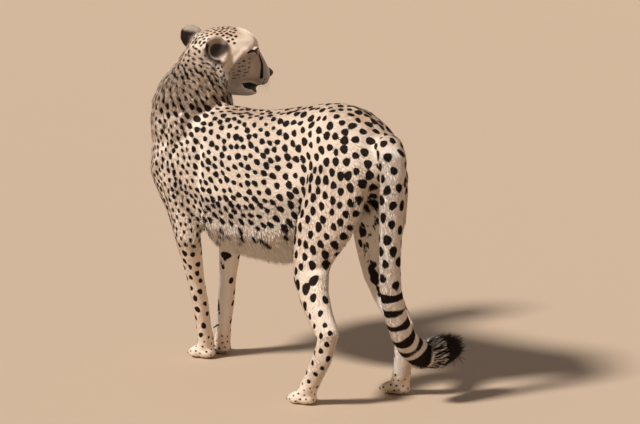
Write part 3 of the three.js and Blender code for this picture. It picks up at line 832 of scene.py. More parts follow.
class Spots:
    """The coat's black spots: thrown like darts, kept where none is too near."""

    def __init__(self, surface):
        rng = np.random.default_rng(SPOT_SEED)
        spacing, along, across = spot_sizes(surface)
        faces, shares = pick_places(surface, 1.0 / spacing ** 2, DARTS, rng)
        order = rng.permutation(DARTS)
        faces, shares = faces[order], shares[order]
        places = spread(surface, surface.points, faces, shares) / MM
        space = spread(surface, spacing, faces, shares) * rng.uniform(0.92, 1.08, DARTS)
        lies = unit(spread(surface, surface.flow, faces, shares))
        wanted = spread(surface, spot_share(surface), faces, shares) > rng.random(DARTS) * 0.999
        kept = evened(places, thrown(places, space, lies))
        kept = kept[wanted[kept]]
        faces, shares = faces[kept], shares[kept]
        self.centres = places[kept]
        normals = unit(spread(surface, surface.normals, faces, shares))
        flow = spread(surface, surface.flow, faces, shares)
        flow = unit(flow - dot(flow, normals) * normals)
        angle = rng.normal(0, 0.25, len(kept))[:, None]
        self.along = flow * np.cos(angle) + np.cross(normals, flow) * np.sin(angle)
        self.across = np.cross(normals, self.along)
        size = rng.uniform(0.84, 1.14, len(kept))
        self.long = spread(surface, along, faces, shares) * size
        self.wide = spread(surface, across, faces, shares) * size * rng.uniform(0.90, 1.10, len(kept))
        self.wave = rng.uniform(0, 2 * math.pi, (len(kept), 2))
        self.tree = kdtree.KDTree(len(kept))
        for number, centre in enumerate(self.centres):
            self.tree.insert(Vector(centre), number)
        self.tree.balance()

    def distance(self, points):
        """Millimetres from the edge of the nearest spot; below zero inside one."""
        places = points / MM
        found = np.array([[hit[1] for hit in self.tree.find_n(Vector(place), 3)] for place in places])
        best = np.full(len(points), FAR)
        for number in found.T:
            away = places - self.centres[number]
            u = np.sum(away * self.along[number], axis=1) / self.long[number]
            v = np.sum(away * self.across[number], axis=1) / self.wide[number]
            turn = np.arctan2(v, u)
            first, second = self.wave[number].T
            wobble = 1 + 0.06 * np.cos(2 * turn + first) + 0.07 * np.cos(3 * turn + second)
            size = np.sqrt(self.long[number] * self.wide[number])
            best = np.minimum(best, (np.hypot(u, v) / wobble - 1) * size)
        return best


def leg_outside(surface, leg):
    """How far a leg's surface turns away from the other leg: 1 outside, -1 inside."""
    out = 1.0 if leg.endswith("left") else -1.0
    return surface.normals[:, 0] * out


# Black patches on the inner side of a foreleg: node, place in fractions of its box, reach in millimetres.
PATCHES = [
    ("leg_fore_{side}_lower", (0.10, 0.70, 0.83), (16, 20, 11)),
    ("leg_fore_{side}_lower", (0.25, 0.98, 0.72), (13, 13, 9)),
    ("leg_fore_{side}_lower", (0.26, 0.30, 0.30), (9, 9, 20)),
]


def patch_distance(points):
    """Millimetres from the edge of the nearest black patch of the forelegs."""
    best = np.full(len(points), FAR)
    for name, fractions, reach in PATCHES:
        for word, side in (("left", 1), ("right", -1)):
            at = box_place(name.format(side=word), fractions, side)
            share = np.linalg.norm((points - at) / MM / np.array(reach), axis=1)
            best = np.minimum(best, (share - 1) * min(reach))
    return best


def spot_share(surface):
    """The share of spots that is kept at each point of the skin."""
    keep = np.ones(len(surface.points))
    belly = surface.of_regions("chest", "loins") * fade(-surface.normals[:, 2], 0.25, 0.75)
    keep -= 0.75 * belly
    between = np.exp(-(surface.points[:, 0] / 0.04) ** 2) * fade(surface.points[:, 1], 0.30, 0.38)
    keep -= between * fade(-surface.points[:, 2], -0.64, -0.58) * surface.of_regions("loins", "thigh")
    throat = surface.of_regions("neck") * fade(-surface.normals[:, 2] - 0.4 * surface.normals[:, 1], 0.3, 0.8)
    keep -= 0.6 * throat
    for leg in LEGS:
        inside = fade(-leg_outside(surface, leg), 0.05, 0.6)
        keep -= 0.8 * inside * surface.weight(f"leg_{leg}_lower")
        keep -= 0.75 * inside * surface.weight(f"leg_{leg}_upper")
    top = fade(surface.both[:, 2], 22, 40) * (1 - fade(surface.both[:, 1], 52, 78))
    nape = 1 - fade(surface.both[:, 1], 0, 26)
    keep -= 1.1 * surface.of_regions("face", "chin") * (1 - np.maximum(top, nape))
    keep -= surface.of_regions("ear", "brush")
    keep -= 0.6 * surface.of_regions("chin")
    return np.clip(keep, 0, 1)


# ------------------------------------------------------------ colour fields

TAIL_BARS_FROM = 0.502    # how far down the tail the spots run together into bars
BAR_STEP = 41.0
BAR_HALF = 12.5
BRUSH_DARK = 78.0         # the last stretch of the tail, which is black with pale hairs among it


def tail_line():
    """Places along the middle of the tail, from its root to its tip."""
    stations = []
    for node in ("tail_upper", "tail_middle", "tail_lower", "tail_tip"):
        cloud = read_points(NODES[node].data)
        order = cloud @ coat_lie(node)
        reach = order.max() - order.min()
        for share in (0.04, 0.35, 0.65, 0.96):
            level = order.min() + share * reach
            band = np.abs(order - level) < 0.2 * reach + 0.004
            stations.append(cloud[band].mean(0))
    return np.array(stations)


def tail_run(points):
    """Millimetres down the tail for each place, the tail's length, and the way out from its middle."""
    line = tail_line()
    steps = np.concatenate([[0], np.cumsum(np.linalg.norm(np.diff(line, axis=0), axis=1))])
    best = np.full(len(points), np.inf)
    run = np.zeros(len(points))
    offset = np.zeros((len(points), 3))
    for k in range(len(line) - 1):
        along = line[k + 1] - line[k]
        share = np.clip((points - line[k]) @ along / (along @ along), 0, 1)
        beside = points - line[k] - share[:, None] * along
        away = np.linalg.norm(beside, axis=1)
        nearer = away < best
        offset[nearer] = beside[nearer]
        best = np.where(nearer, away, best)
        run = np.where(nearer, steps[k] + share * (steps[k + 1] - steps[k]), run)
    return run / MM, steps[-1] / MM, offset


def signed_band(run, step, half):
    """Distance from the nearest of evenly spaced bands; below zero inside one."""
    return np.abs((run + step / 2) % step - step / 2) - half


def tawny_field(surface):
    """How tawny the coat is at each point of the skin."""
    up = surface.normals[:, 2]
    both = surface.both
    trunk = surface.of_regions("chest", "loins")
    tawny = trunk * (0.52 + 0.30 * fade(up, 0.35, 0.95) - 0.50 * fade(-up, 0.15, 0.75))
    neck = surface.of_regions("neck")
    throat = fade(-surface.normals[:, 1] - 0.6 * up, 0.4, 1.1)
    tawny += neck * (0.60 + 0.16 * fade(surface.height, 0.70, 0.80) - 0.30 * throat)
    for leg in LEGS:
        inside = fade(-leg_outside(surface, leg), 0.0, 0.7)
        tawny += surface.weight(f"leg_{leg}_upper") * (0.50 - 0.38 * inside)
        tawny += surface.weight(f"leg_{leg}_lower") * (0.46 - 0.44 * inside)
        tawny += surface.weight(f"paw_{leg}") * 0.50
    # the tail is pale tawny, made paler still as painted light against the shadow the rump casts on it
    tawny += surface.of_regions("tail") * 0.22 + surface.of_regions("brush") * 0.30
    face = surface.of_regions("face", "chin")
    crown = 0.84 * fade(both[:, 2], 16, 50) * (1 - 0.35 * fade(both[:, 1], 60, 100))
    cheek = 0.60 - 0.34 * fade(-both[:, 2], 5, 60)
    skin_tone = np.maximum(crown, cheek) * (1 - 0.75 * near(both, (30, 168, -95), (22, 26, 18)))
    skin_tone *= 1 - 0.85 * fade(-both[:, 2], 88, 104)
    skin_tone *= 1 - 0.55 * near(both, (38, 128, -14), (16, 14, 8))
    skin_tone *= 1 - 0.45 * near(both, (30, 134, 22), (14, 12, 6))
    tawny += face * skin_tone
    tawny += surface.of_regions("ear") * 0.70
    blend = surface.of_regions("neck", "chest", "shoulder", "loins")
    tawny += blend * (relaxed(tawny, surface.edges, 70) - tawny)
    return np.clip(tawny, 0, 1)


laid = {}                 # the lines and dots of the face, once they lie on the skin
TEAR_HALF = 4.8
RIM_WIDTH = 4.6
CORNER_HALF = 3.6
LIP_WIDTH = 3.0


def lip_distance(both):
    """Millimetres from the nearer lip's line."""
    return np.minimum(line_distance(both, laid["upper"]), line_distance(both, laid["lower"]))


def face_marks(both, places):
    """Millimetres from the edge of the black marks of the face; below zero inside one."""
    marks = line_distance(both, laid["tear"]) - TEAR_HALF
    marks = np.minimum(marks, opening(places) - RIM_WIDTH)
    marks = np.minimum(marks, line_distance(both, laid["corner"]) - CORNER_HALF)
    return np.minimum(marks, lip_distance(both) - LIP_WIDTH * fade(both[:, 1], 92, 112))


def face_dots():
    """Rows of small dark marks on the whisker pads and along the cheeks: places, stretch and size."""
    dots = []
    for row, k in itertools.product(range(4), range(5)):
        dots.append(((14 + 4.6 * k, 184 - 6.5 * k - 0.8 * row, -70 - 7.0 * row - 1.2 * k), 0.7, 2.1))
    for row, k in itertools.product(range(5), range(7)):
        stray = math.sin(7.3 * row + 4.1 * k)
        place = (62 + 2.0 * k, 96 - 11 * k + 3 * stray, -14 - 13 * row - 3.6 * k + 2.5 * stray)
        if place[2] < np.interp(place[1], [6, 101], [-70, 6]):
            dots.append((place, 0.45, 1.8 + 0.5 * stray))
    for k in range(9):
        forward = 62 - 6.5 * k
        dots.append(((70, forward, cheek_edge(forward) - 5), 0.7, 2.3))
    return dots


def face_lines(both):
    """Millimetres from the edge of the nearest of the face's dots."""
    best = np.full(len(both), FAR)
    for (_, stretch, size), at in zip(face_dots(), laid["dots"]):
        best = np.minimum(best, np.linalg.norm((both - at) * (1, stretch, 1), axis=1) - size)
    return best


PAINTED_SHADE = 0.38               # how much painted shade darkens the sides of the face
EAR_REACH = 44.0          # millimetres from the middle of an ear to its edge


def ear_black_and_shade(surface):
    """The black back of each ear, and painted shade inside its cup."""
    dark = np.zeros(len(surface.points))
    for word, side in SIDES.items():
        node = f"ear_{word}"
        cloud = head.local(read_points(NODES[node].data))
        centre = cloud.mean(0)
        _, _, axes = np.linalg.svd(cloud - centre, full_matrices=False)
        opens = towards(axes[2], (0.7 * side, 0.8, 0.1))
        facing = (surface.normals @ head.turn.T) @ opens
        away = surface.places - centre
        height = away[:, 2]
        front = away[:, 1]
        spoke = away - (away @ opens)[:, None] * opens
        edge = np.linalg.norm(spoke, axis=1) / EAR_REACH
        rear = 1 - fade(front, -6, 12)
        low_rear = fade(-0.8 * front - 0.7 * height, 2, 14)
        outermost = fade(edge, 0.54, 0.61) * low_rear
        rim = fade(edge, 0.40, 0.47) * (1 - outermost) * np.maximum(rear, fade(height, 12, 24))
        back = np.maximum(fade(-facing, -0.30, 0.05) * (1 - 0.55 * fade(height, 13, 24)), outermost)
        # painted shade inside the cup: deepest at its upper rear, less towards the front and under the pale
        # rim
        inner = fade(facing, 0.10, 0.45) * (0.92 - 0.85 * fade(front - 1.3 * height, 26, 46))
        inner *= 1 - 0.6 * rim
        dark += surface.weight(node) * np.maximum(back, inner)
    return np.clip(dark, 0, 1)


def painted_face_shade(surface):
    """Painted shade that darkens and greys the face below the cheeks' ruff."""
    reach = fade(below_cheek(surface.both), 0, 12) * fade(surface.both[:, 0], 10, 26)
    return PAINTED_SHADE * surface.of_regions("face", "chin") * reach


def lay_lines(tree):
    """The lines of the face, laid onto the skin."""
    for name, path in (("tear", TEAR), ("corner", OUTER_CORNER), ("upper", UPPER_LIP), ("lower", LOWER_LIP)):
        path = np.array(path, float)
        steps = np.linspace(0, len(path) - 1, 8 * len(path))
        fine = np.stack([np.interp(steps, np.arange(len(path)), path[:, axis]) for axis in range(3)], axis=1)
        hits = np.array([tree.find_nearest(place)[0] for place in head.world(fine).tolist()])
        laid[name] = head.local(hits)
    spots = [tree.find_nearest(head.world(np.array(place)).tolist())[0] for place, _, _ in face_dots()]
    laid["dots"] = head.local(np.array(spots))


class Coat:
    """All fields that colour the coat, ready to be read at any place of the skin."""

    def __init__(self, surface):
        self.surface = surface
        self.spots = Spots(surface)
        self.tawny = tawny_field(surface)
        # the ears' black backs and the painted shade inside them, with the painted shade on the face's sides
        self.dark = np.maximum(ear_black_and_shade(surface), painted_face_shade(surface))
        self.tail = surface.of_regions("tail", "brush")
        self.face = surface.of_regions("face", "chin")

    def marks(self, points, tail, face):
        """The edge distance of every black mark, for places on the skin."""
        best = self.spots.distance(points)
        best = np.minimum(best, patch_distance(points))
        on_tail = tail > 0.5
        run, whole, offset = tail_run(points[on_tail])
        swell = 2.5 * fade(run, 0.75 * whole, 0.92 * whole)
        bars = signed_band(run - whole, BAR_STEP, BAR_HALF + swell)
        number = np.round((run - whole) / BAR_STEP)
        round_tail = np.arctan2(offset[:, 0], offset[:, 1] + 0.6 * offset[:, 2])
        open_side = (1 - np.cos(round_tail - 2.2 * number)) / 2 * (1 - fade(run / whole, 0.62, 0.82))
        bars = bars + 7.0 * open_side + 2.0 * np.sin(3.1 * number + 2 * round_tail)
        bars = np.minimum(bars, (whole - BRUSH_DARK) - run)
        best[on_tail] = np.where(run / whole > TAIL_BARS_FROM, bars, best[on_tail])
        on_face = face > 0.2
        places = head.local(points[on_face])
        both = folded(places)
        drawn = np.minimum(face_marks(both, places), face_lines(both))
        best[on_face] = np.minimum(best[on_face], drawn)
        return best


# ------------------------------------------------------------ the coat's tufts

COAT_SEED = 5
ROOT_DEPTH = 0.8 * MM
PATCH = 0.003             # the side of each tuft's patch on the coat's map
MOST_TRIANGLES = 190_000  # of one piece
LONG_FROM = 16.5          # millimetres from which a tuft is a long lock with a bend

# A long lock has a root, a middle and a tip: 0-2 left, ridge and right at the root, 3-5 the same
# halfway, 6 the tip. A short lock has only the root, 0-2, and the tip, 3.
LONG = dict(
    grown=(0, 0, 0, 0.5, 0.55, 0.5, 1.0), level=(0, 0, 0, 1, 1, 1, 2), shares=(0.1, 0.5, 0.95),
    faces=[(0, 1, 4), (0, 4, 3), (1, 2, 5), (1, 5, 4), (2, 0, 3), (2, 3, 5),
           (3, 4, 6), (4, 5, 6), (5, 3, 6), (0, 2, 1)],
    patch=[[(0, .2), (.33, .2), (.33, .6)], [(0, .2), (.33, .6), (0, .6)],
           [(.33, .2), (.66, .2), (.66, .6)], [(.33, .2), (.66, .6), (.33, .6)],
           [(.66, .2), (1, .2), (1, .6)], [(.66, .2), (1, .6), (.66, .6)],
           [(0, .6), (.33, .6), (.17, 1)], [(.33, .6), (.66, .6), (.5, 1)],
           [(.66, .6), (1, .6), (.83, 1)], [(.3, 0), (.6, 0), (.45, .15)]])
SHORT = dict(
    grown=(0, 0, 0, 1.0), level=(0, 0, 0, 1), shares=(0.15, 0.95),
    faces=[(0, 1, 3), (1, 2, 3), (2, 0, 3), (0, 2, 1)],
    patch=[[(0, .2), (.33, .2), (.17, 1)], [(.33, .2), (.66, .2), (.5, 1)],
           [(.66, .2), (1, .2), (.83, 1)], [(.3, 0), (.6, 0), (.45, .15)]])


def tufts(name, kind, roots, normals, flow, size, fields, places, coat, rng):
    """One piece of coat: a closed, flat lock of hair on every root."""
    count = len(roots)
    corners_each = len(kind["grown"])
    length = size["length"] * rng.uniform(0.72, 1.25, count) * MM
    width = size["width"] * rng.uniform(0.8, 1.2, count) * MM / 2
    lift = size["lift"] * rng.uniform(0.45, 1.35, count) * MM
    angle = rng.normal(0, 0.15, count)[:, None]
    side = np.cross(normals, flow)
    run = flow * np.cos(angle) + side * np.sin(angle)
    run = unit(run + size["hang"][:, None] * (0.0, 0.0, -1.0))
    side = unit(np.cross(normals, run))
    bend = (rng.normal(0, 0.07, count) * length)[:, None] * side
    corners = np.empty((count, corners_each, 3))
    low = roots - normals * ROOT_DEPTH
    half = roots + run * (0.48 * length)[:, None] + normals * (0.80 * lift)[:, None] + bend
    corners[:, -1] = roots + run * length[:, None] + normals * lift[:, None]
    levels = [(0, low, 0.75, 0.5), (3, half, 1.0, 0.55)] if kind is LONG else [(0, low, 1.0, 0.8)]
    for first, centre, broad, thick in levels:
        corners[:, first] = centre - side * (broad * width)[:, None]
        corners[:, first + 1] = centre + normals * (thick * width)[:, None]
        corners[:, first + 2] = centre + side * (broad * width)[:, None]
    faces = (np.arange(count)[:, None, None] * corners_each + np.array(kind["faces"])).reshape(-1, 3)
    mesh = mesh_from(name, corners.reshape(-1, 3), faces)
    for key in ("tawny", "dark", "lie"):
        set_field(mesh, key, np.repeat(fields[key], corners_each, axis=0))
    shift = run * (rng.normal(0, 0.9, count) * MM)[:, None]
    marks = [coat.marks(roots + run * (share * length)[:, None] + shift, fields["tail"], fields["face"])
             for share in kind["shares"]]
    pale = (rng.random(count) < 0.42 * fields["brush"]) * 30.0
    set_field(mesh, "spot", (np.stack(marks, axis=1) + pale[:, None])[:, kind["level"]].ravel())
    set_field(mesh, "grown", np.tile(np.array(kind["grown"]), count))
    tone = rng.normal(0, 1, count) * (1 + 0.9 * fields["mane"])
    set_field(mesh, "tone", np.repeat(tone, corners_each))
    patches = places[:, None, None] * (1 - 2 * PATCH) + PATCH / 2 + np.array(kind["patch"]) * PATCH
    layer = mesh.uv_layers.new(name="OFBake")
    layer.data.foreach_set("uv", patches.reshape(-1).astype(np.float32))
    return new_object(name, mesh)


def unwrapped(points, node):
    """A place on the node's own unwrap: the turn round its long axis, and the way along it."""
    cloud = read_points(NODES[node].data)
    axis = long_axis(node)
    centre = cloud.mean(0)
    aside = unit(np.cross(axis, (0.3, 0.2, 1.0)))
    other = np.cross(axis, aside)
    away = points - centre
    turn = np.arctan2(away @ aside, away @ other) / (2 * math.pi) + 0.5
    run = away @ axis
    reach = (cloud - centre) @ axis
    along = (run - reach.min()) / (reach.max() - reach.min())
    return np.clip(np.stack([turn, along], axis=1), 0, 1)


PIECES = {
    "coat_head": ["head", "jaw", "ear_right", "ear_left"],
    "coat_neck": ["neck"],
    "coat_chest": ["trunk_chest"],
    "coat_loins": ["trunk_loins"],
    "coat_tail": ["tail_upper", "tail_middle", "tail_lower", "tail_tip"],
    "coat_fore_left": ["leg_fore_left_upper", "leg_fore_left_lower", "paw_fore_left"],
    "coat_fore_right": ["leg_fore_right_upper", "leg_fore_right_lower", "paw_fore_right"],
    "coat_hind_left": ["leg_hind_left_upper", "leg_hind_left_lower", "paw_hind_left"],
    "coat_hind_right": ["leg_hind_right_upper", "leg_hind_right_lower", "paw_hind_right"],
}


def own_places(roots, owner, nodes):
    """A place on the coat's map for each root; every node of a piece has a column of its own."""
    places = np.zeros((len(roots), 2))
    for tile, node in enumerate(nodes):
        own = owner == FLESH.index(node)
        places[own] = unwrapped(roots[own], node)
        places[own, 0] = (places[own, 0] + tile) / len(nodes)
    return places


def bare_roots(roots, owner, in_mouth):
    """True for roots on the eyes' rims, the lips, the nose and in the mouth, where no hair grows."""
    places = head.local(roots)
    both = folded(places)
    lips = (lip_distance(both) < 2.6) & (both[:, 1] > 106)
    nose = np.linalg.norm((both - NOSE_SEAT) * (1, 1, 1.15), axis=1) < 19
    on_face = np.isin(owner, [FLESH.index("head"), FLESH.index("jaw")])
    return on_face & (lips | nose) | (opening(places) < 1.6) | (in_mouth > 0.5)


def make_coat(surface, coat, material):
    """All pieces of the coat."""
    rng = np.random.default_rng(COAT_SEED)
    faces, shares = pick_places(surface, 1.0 / (surface.values["gap"] * MM) ** 2, None, rng)

    def rooted(values):
        return spread(surface, values, faces, shares)

    roots = rooted(surface.points)
    owner = nearest.node_numbers(roots)
    keep = ~bare_roots(roots, owner, rooted(surface.in_mouth.astype(float)))
    faces, shares, roots, owner = faces[keep], shares[keep], roots[keep], owner[keep]
    normals = unit(rooted(surface.normals))
    flow = rooted(surface.flow)
    flow = unit(flow - dot(flow, normals) * normals)
    size = {key: rooted(values) for key, values in {**surface.values, "hang": surface.hang}.items()}
    fields = {key: rooted(values) for key, values in {
        "tail": coat.tail, "face": coat.face, "brush": surface.weight("tail_tip"),
        "mane": surface.mane, "tawny": coat.tawny, "dark": coat.dark}.items()}
    fields["lie"] = compressed(roots, flow)
    long = size["length"] > LONG_FROM
    for (name, nodes), (word, kind, fitting) in itertools.product(
            PIECES.items(), (("locks", LONG, long), ("hair", SHORT, ~long))):
        chosen = np.where(np.isin(owner, [FLESH.index(node) for node in nodes]) & fitting)[0]
        if len(chosen) == 0:
            continue
        count = math.ceil(len(chosen) * len(kind["faces"]) / MOST_TRIANGLES)
        order = np.argsort(roots[chosen] @ (1.0, 0.15, 0.0))
        for part, members in enumerate(np.array_split(chosen[order], count)):
            label = f"{name}_{word}" if count == 1 else f"{name}_{word}_{part + 1}"
            piece = tufts(label, kind, roots[members], normals[members], flow[members],
                          {key: values[members] for key, values in size.items()},
                          {key: values[members] for key, values in fields.items()},
                          own_places(roots[members], owner[members], nodes), coat, rng)
            piece.data.materials.append(material)
            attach(piece, "root")


def compressed(points, flow):
    """Coordinates squeezed along the hair, so that noise in them makes streaks."""
    return points - flow * dot(points, flow) * 0.86


# ------------------------------------------------------------ materials


def srgb(red, green, blue):
    """A colour written as 0-255 values, as the shader wants it."""
    def linear(value):
        value = value / 255
        return value / 12.92 if value <= 0.04045 else ((value + 0.055) / 1.055) ** 2.4
    return (linear(red), linear(green), linear(blue), 1.0)


class Value:
    """A number on a socket, with the usual operators."""

    def __init__(self, paint, socket):
        self.paint = paint
        self.socket = socket

    def __add__(self, other):
        return self.paint.math("ADD", self, other)

    def __sub__(self, other):
        return self.paint.math("SUBTRACT", self, other)

    def __mul__(self, other):
        return self.paint.math("MULTIPLY", self, other)

    def __rsub__(self, other):
        return self.paint.math("SUBTRACT", other, self)

    __radd__ = __add__
    __rmul__ = __mul__


class Paint:
    """Builds one material's nodes."""

    def __init__(self, name):
        self.material = bpy.data.materials.new(name)
        self.material.use_nodes = True
        self.tree = self.material.node_tree
        self.tree.nodes.clear()
        self.shader = self.tree.nodes.new("ShaderNodeBsdfPrincipled")
        output = self.tree.nodes.new("ShaderNodeOutputMaterial")
        self.tree.links.new(self.shader.outputs[0], output.inputs[0])

    def put(self, socket, value):
        """Links a value to a socket, or sets a plain number or colour on it."""
        if isinstance(value, Value):
            self.tree.links.new(value.socket, socket)
        else:
            socket.default_value = value

    def node(self, kind, settings=None, output=0, **inputs):
        """Adds a node: its settings, then its inputs by name."""
        node = self.tree.nodes.new(kind)
        for key, setting in (settings or {}).items():
            setattr(node, key, setting)
        for key, value in inputs.items():
            self.put(node.inputs[key.replace("_", " ")], value)
        return Value(self, node.outputs[output])

    def math(self, operation, *values):
        """The result of one operation on values."""
        node = self.tree.nodes.new("ShaderNodeMath")
        node.operation = operation
        for socket, value in zip(node.inputs, values):
            self.put(socket, value)
        return Value(self, node.outputs[0])

    def field(self, name, vector=False):
        """An attribute of the piece's points."""
        return self.node("ShaderNodeAttribute", {"attribute_name": name}, "Vector" if vector else "Fac")

    def noise(self, place, scale, detail=2.0, rough=0.5):
        """Soft noise, finer with a larger scale."""
        return self.node("ShaderNodeTexNoise", Vector=place, Scale=scale, Detail=detail, Roughness=rough)

    def ramp(self, value, low, high, start=0.0, end=1.0):
        """A smooth step of a value, from start to end."""
        return self.node("ShaderNodeMapRange", {"interpolation_type": "SMOOTHSTEP"}, 0, Value=value,
                         From_Min=low, From_Max=high, To_Min=start, To_Max=end)

    def mix(self, factor, first, second, blend="MIX"):
        """A mix of two colours."""
        node = self.tree.nodes.new("ShaderNodeMix")
        node.data_type = "RGBA"
        node.blend_type = blend
        self.put(node.inputs[0], factor)
        self.put(node.inputs[6], first)
        self.put(node.inputs[7], second)
        return Value(self, node.outputs[2])

    def bump(self, height, distance, strength=1.0):
        """A normal that makes the height look raised by the distance."""
        return self.node("ShaderNodeBump", Height=height, Distance=distance, Strength=strength)

    def finish(self, **inputs):
        """Sets the shader's inputs; names with spaces are written with underscores."""
        for key, value in inputs.items():
            self.put(self.shader.inputs[key.replace("_", " ")], value)
        return self.material


PALE = srgb(246, 239, 231)
SAND = srgb(241, 222, 202)
TAWNY = srgb(194, 157, 122)
BLACK_HAIR = srgb(31, 17, 9)
BARE_BLACK = srgb(24, 18, 16)


def coat_colour(paint, tone):
    """The colour of the hair: pale to tawny, with its black marks."""
    lie = paint.field("lie", vector=True)
    patch = paint.noise(lie, 26.0, 3.0)
    streak = paint.noise(lie, 260.0, 2.0)
    tawny = paint.field("tawny") + (patch - 0.5) * 0.35 + (streak - 0.5) * 0.30 + tone * 0.06
    light = paint.mix(paint.ramp(tawny, 0.0, 0.5), PALE, SAND)
    hair = paint.mix(paint.ramp(tawny, 0.48, 1.05), light, TAWNY)
    edge = paint.field("spot") + (streak - 0.5) * 3.0 + (patch - 0.5) * 1.5
    marked = paint.ramp(edge, -0.9, 0.9, 1.0, 0.0)
    inked = paint.mix(marked * 0.995, hair, BLACK_HAIR)
    # the dark field: the ears' black backs, and painted shade inside the ears and on the face's sides
    return paint.mix(paint.field("dark"), inked, BLACK_HAIR), streak


def skin_material():
    """The skin under the coat: the same marks, with hair as bump."""
    paint = Paint("skin_hair")
    colour, streak = coat_colour(paint, 0.0)
    bare = paint.ramp(paint.field("bare"), 0.3, 0.7)
    colour = paint.mix(bare, colour, BARE_BLACK)
    fine = paint.noise(paint.field("lie", vector=True), 700.0, 2.0)
    normal = paint.bump(streak * 0.6 + fine * 0.4, 1.2 * MM, 0.8)
    return paint.finish(Base_Color=colour, Roughness=0.85 - bare * 0.40, Normal=normal,
                        Specular_IOR_Level=0.25)


def coat_material():
    """The tufts: the skin's marks with painted shade at the root, each with its own tone."""
    paint = Paint("coat_hair")
    tone = paint.field("tone")
    colour, streak = coat_colour(paint, tone)
    grown = paint.field("grown")
    # painted shade: each tuft darker towards its root, where other hair covers it, and a little lighter at
    # its tip
    shade = paint.ramp(grown, 0.0, 0.75, 0.80, 1.03) + tone * 0.035
    grey = paint.node("ShaderNodeCombineColor", Red=shade, Green=shade, Blue=shade)
    colour = paint.mix(1.0, colour, grey, "MULTIPLY")
    fine = paint.noise(paint.field("lie", vector=True), 900.0, 1.0)
    normal = paint.bump(fine, 0.6 * MM, 0.6)
    return paint.finish(Base_Color=colour, Roughness=0.78, Normal=normal, Specular_IOR_Level=0.12)


# ------------------------------------------------------------ eyes

IRIS = 11.6               # radii of the rings of colour
PUPIL = 4.6
EYE_RINGS = 40
EYE_SPOKES = 64


def eye_ball(word, material):
    """A fine eyeball whose rings run round the line of sight."""
    side = SIDES[word]
    centre, _ = eye_frame(side)
    sight = unit(mirrored((0.34, 0.94, -0.03), side))
    up = unit(np.array((0, 0, 1.0)) - sight * sight[2])
    right = np.cross(sight, up)
    lean = np.linspace(0, math.pi, EYE_RINGS + 1) ** 1.35
    lean = lean / lean[-1] * math.pi
    turn = np.arange(EYE_SPOKES) / EYE_SPOKES * 2 * math.pi
    bulge = BALL_RADIUS + 0.8 * np.exp(-(lean / 0.52) ** 4)
    ring = np.sin(lean[1:-1])[:, None]
    rest = np.cos(lean[1:-1])[:, None, None] * sight
    spokes = np.cos(turn)[:, None] * right + np.sin(turn)[:, None] * up
    places = (ring[:, :, None] * spokes + rest) * bulge[1:-1, None, None]
    places = np.concatenate([(sight * bulge[0])[None], places.reshape(-1, 3), (-sight * bulge[-1])[None]])
    faces = []
    rows = EYE_RINGS - 1
    for k in range(EYE_SPOKES):
        after = (k + 1) % EYE_SPOKES
        faces.append((0, 1 + k, 1 + after))
        last = 1 + (rows - 1) * EYE_SPOKES
        faces.append((len(places) - 1, last + after, last + k))
        for row in range(rows - 1):
            a = 1 + row * EYE_SPOKES
            b = a + EYE_SPOKES
            faces.append((a + k, b + k, b + after))
            faces.append((a + k, b + after, a + after))
    mesh = mesh_from(f"eyeball_{word}", head.world(centre + places), faces)
    flat = np.concatenate([[0], np.repeat(np.sin(lean[1:-1]) * BALL_RADIUS, EYE_SPOKES), [0]])
    front = np.concatenate([[1], np.repeat(np.cos(lean[1:-1]) > 0, EYE_SPOKES), [0]])
    set_field(mesh, "ring", np.where(front > 0, flat, BALL_RADIUS))
    around = np.concatenate([[0], np.tile(turn, rows), [0]])
    set_field(mesh, "around", np.stack([np.cos(around), np.sin(around), 0 * around], axis=1))
    piece = new_object(f"eyeball_{word}", mesh)
    piece.data.materials.append(material)
    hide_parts(f"eye_{word}")
    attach(piece, "root")


def make_eye_material():
    """An amber iris with a round pupil, wet and clear over it."""
    paint = Paint("eye_amber")
    ring = paint.field("ring")
    around = paint.field("around", vector=True)
    fibre = paint.noise(around, 14.0, 3.0, 0.6)
    outward = paint.ramp(ring + (fibre - 0.5) * 3.0, PUPIL, IRIS - 1.0)
    iris = paint.mix(outward, srgb(214, 150, 66), srgb(146, 84, 26))
    iris = paint.mix(paint.ramp(fibre, 0.35, 0.7, 0.0, 0.5), iris, srgb(92, 50, 18))
    iris = paint.mix(paint.ramp(ring, IRIS - 2.0, IRIS), iris, srgb(38, 22, 12))
    white = paint.mix(paint.ramp(ring, IRIS - 0.2, IRIS + 0.6), iris, srgb(60, 38, 26))
    colour = paint.mix(paint.ramp(ring, PUPIL - 0.3, PUPIL + 0.3, 1.0, 0.0), white, srgb(6, 5, 5))
    return paint.finish(Base_Color=colour, Roughness=0.3, Specular_IOR_Level=0.1, Coat_Weight=0.7,
                        Coat_Roughness=0.03)


# ------------------------------------------------------------ nose, claws, whiskers


def smooth_copy(node, name, cuts, round_share):
    """A node's mesh, subdivided and relaxed a little."""
    body = merged_copy(node)
    mesh = bpy.data.meshes.new(name)
    body.to_mesh(mesh)
    body.free()
    piece = new_object(name, mesh)
    finer = piece.modifiers.new("finer", "SUBSURF")
    finer.levels = cuts
    finer.render_levels = cuts
    mesh = applied(piece)
    before = read_points(mesh)
    mesh.polygons.foreach_set("use_smooth", np.ones(len(mesh.polygons), bool))
    points = relaxed(before, read_edges(mesh), 3, round_share)
    grown = points - points.mean(0)
    scale = np.linalg.norm(before - before.mean(0), axis=1).mean() / np.linalg.norm(grown, axis=1).mean()
    write_points(mesh, before.mean(0) + grown * scale)
    return piece


NOSTRIL = [(5, 195, -65), (9, 192, -68), (14, 185, -65)]


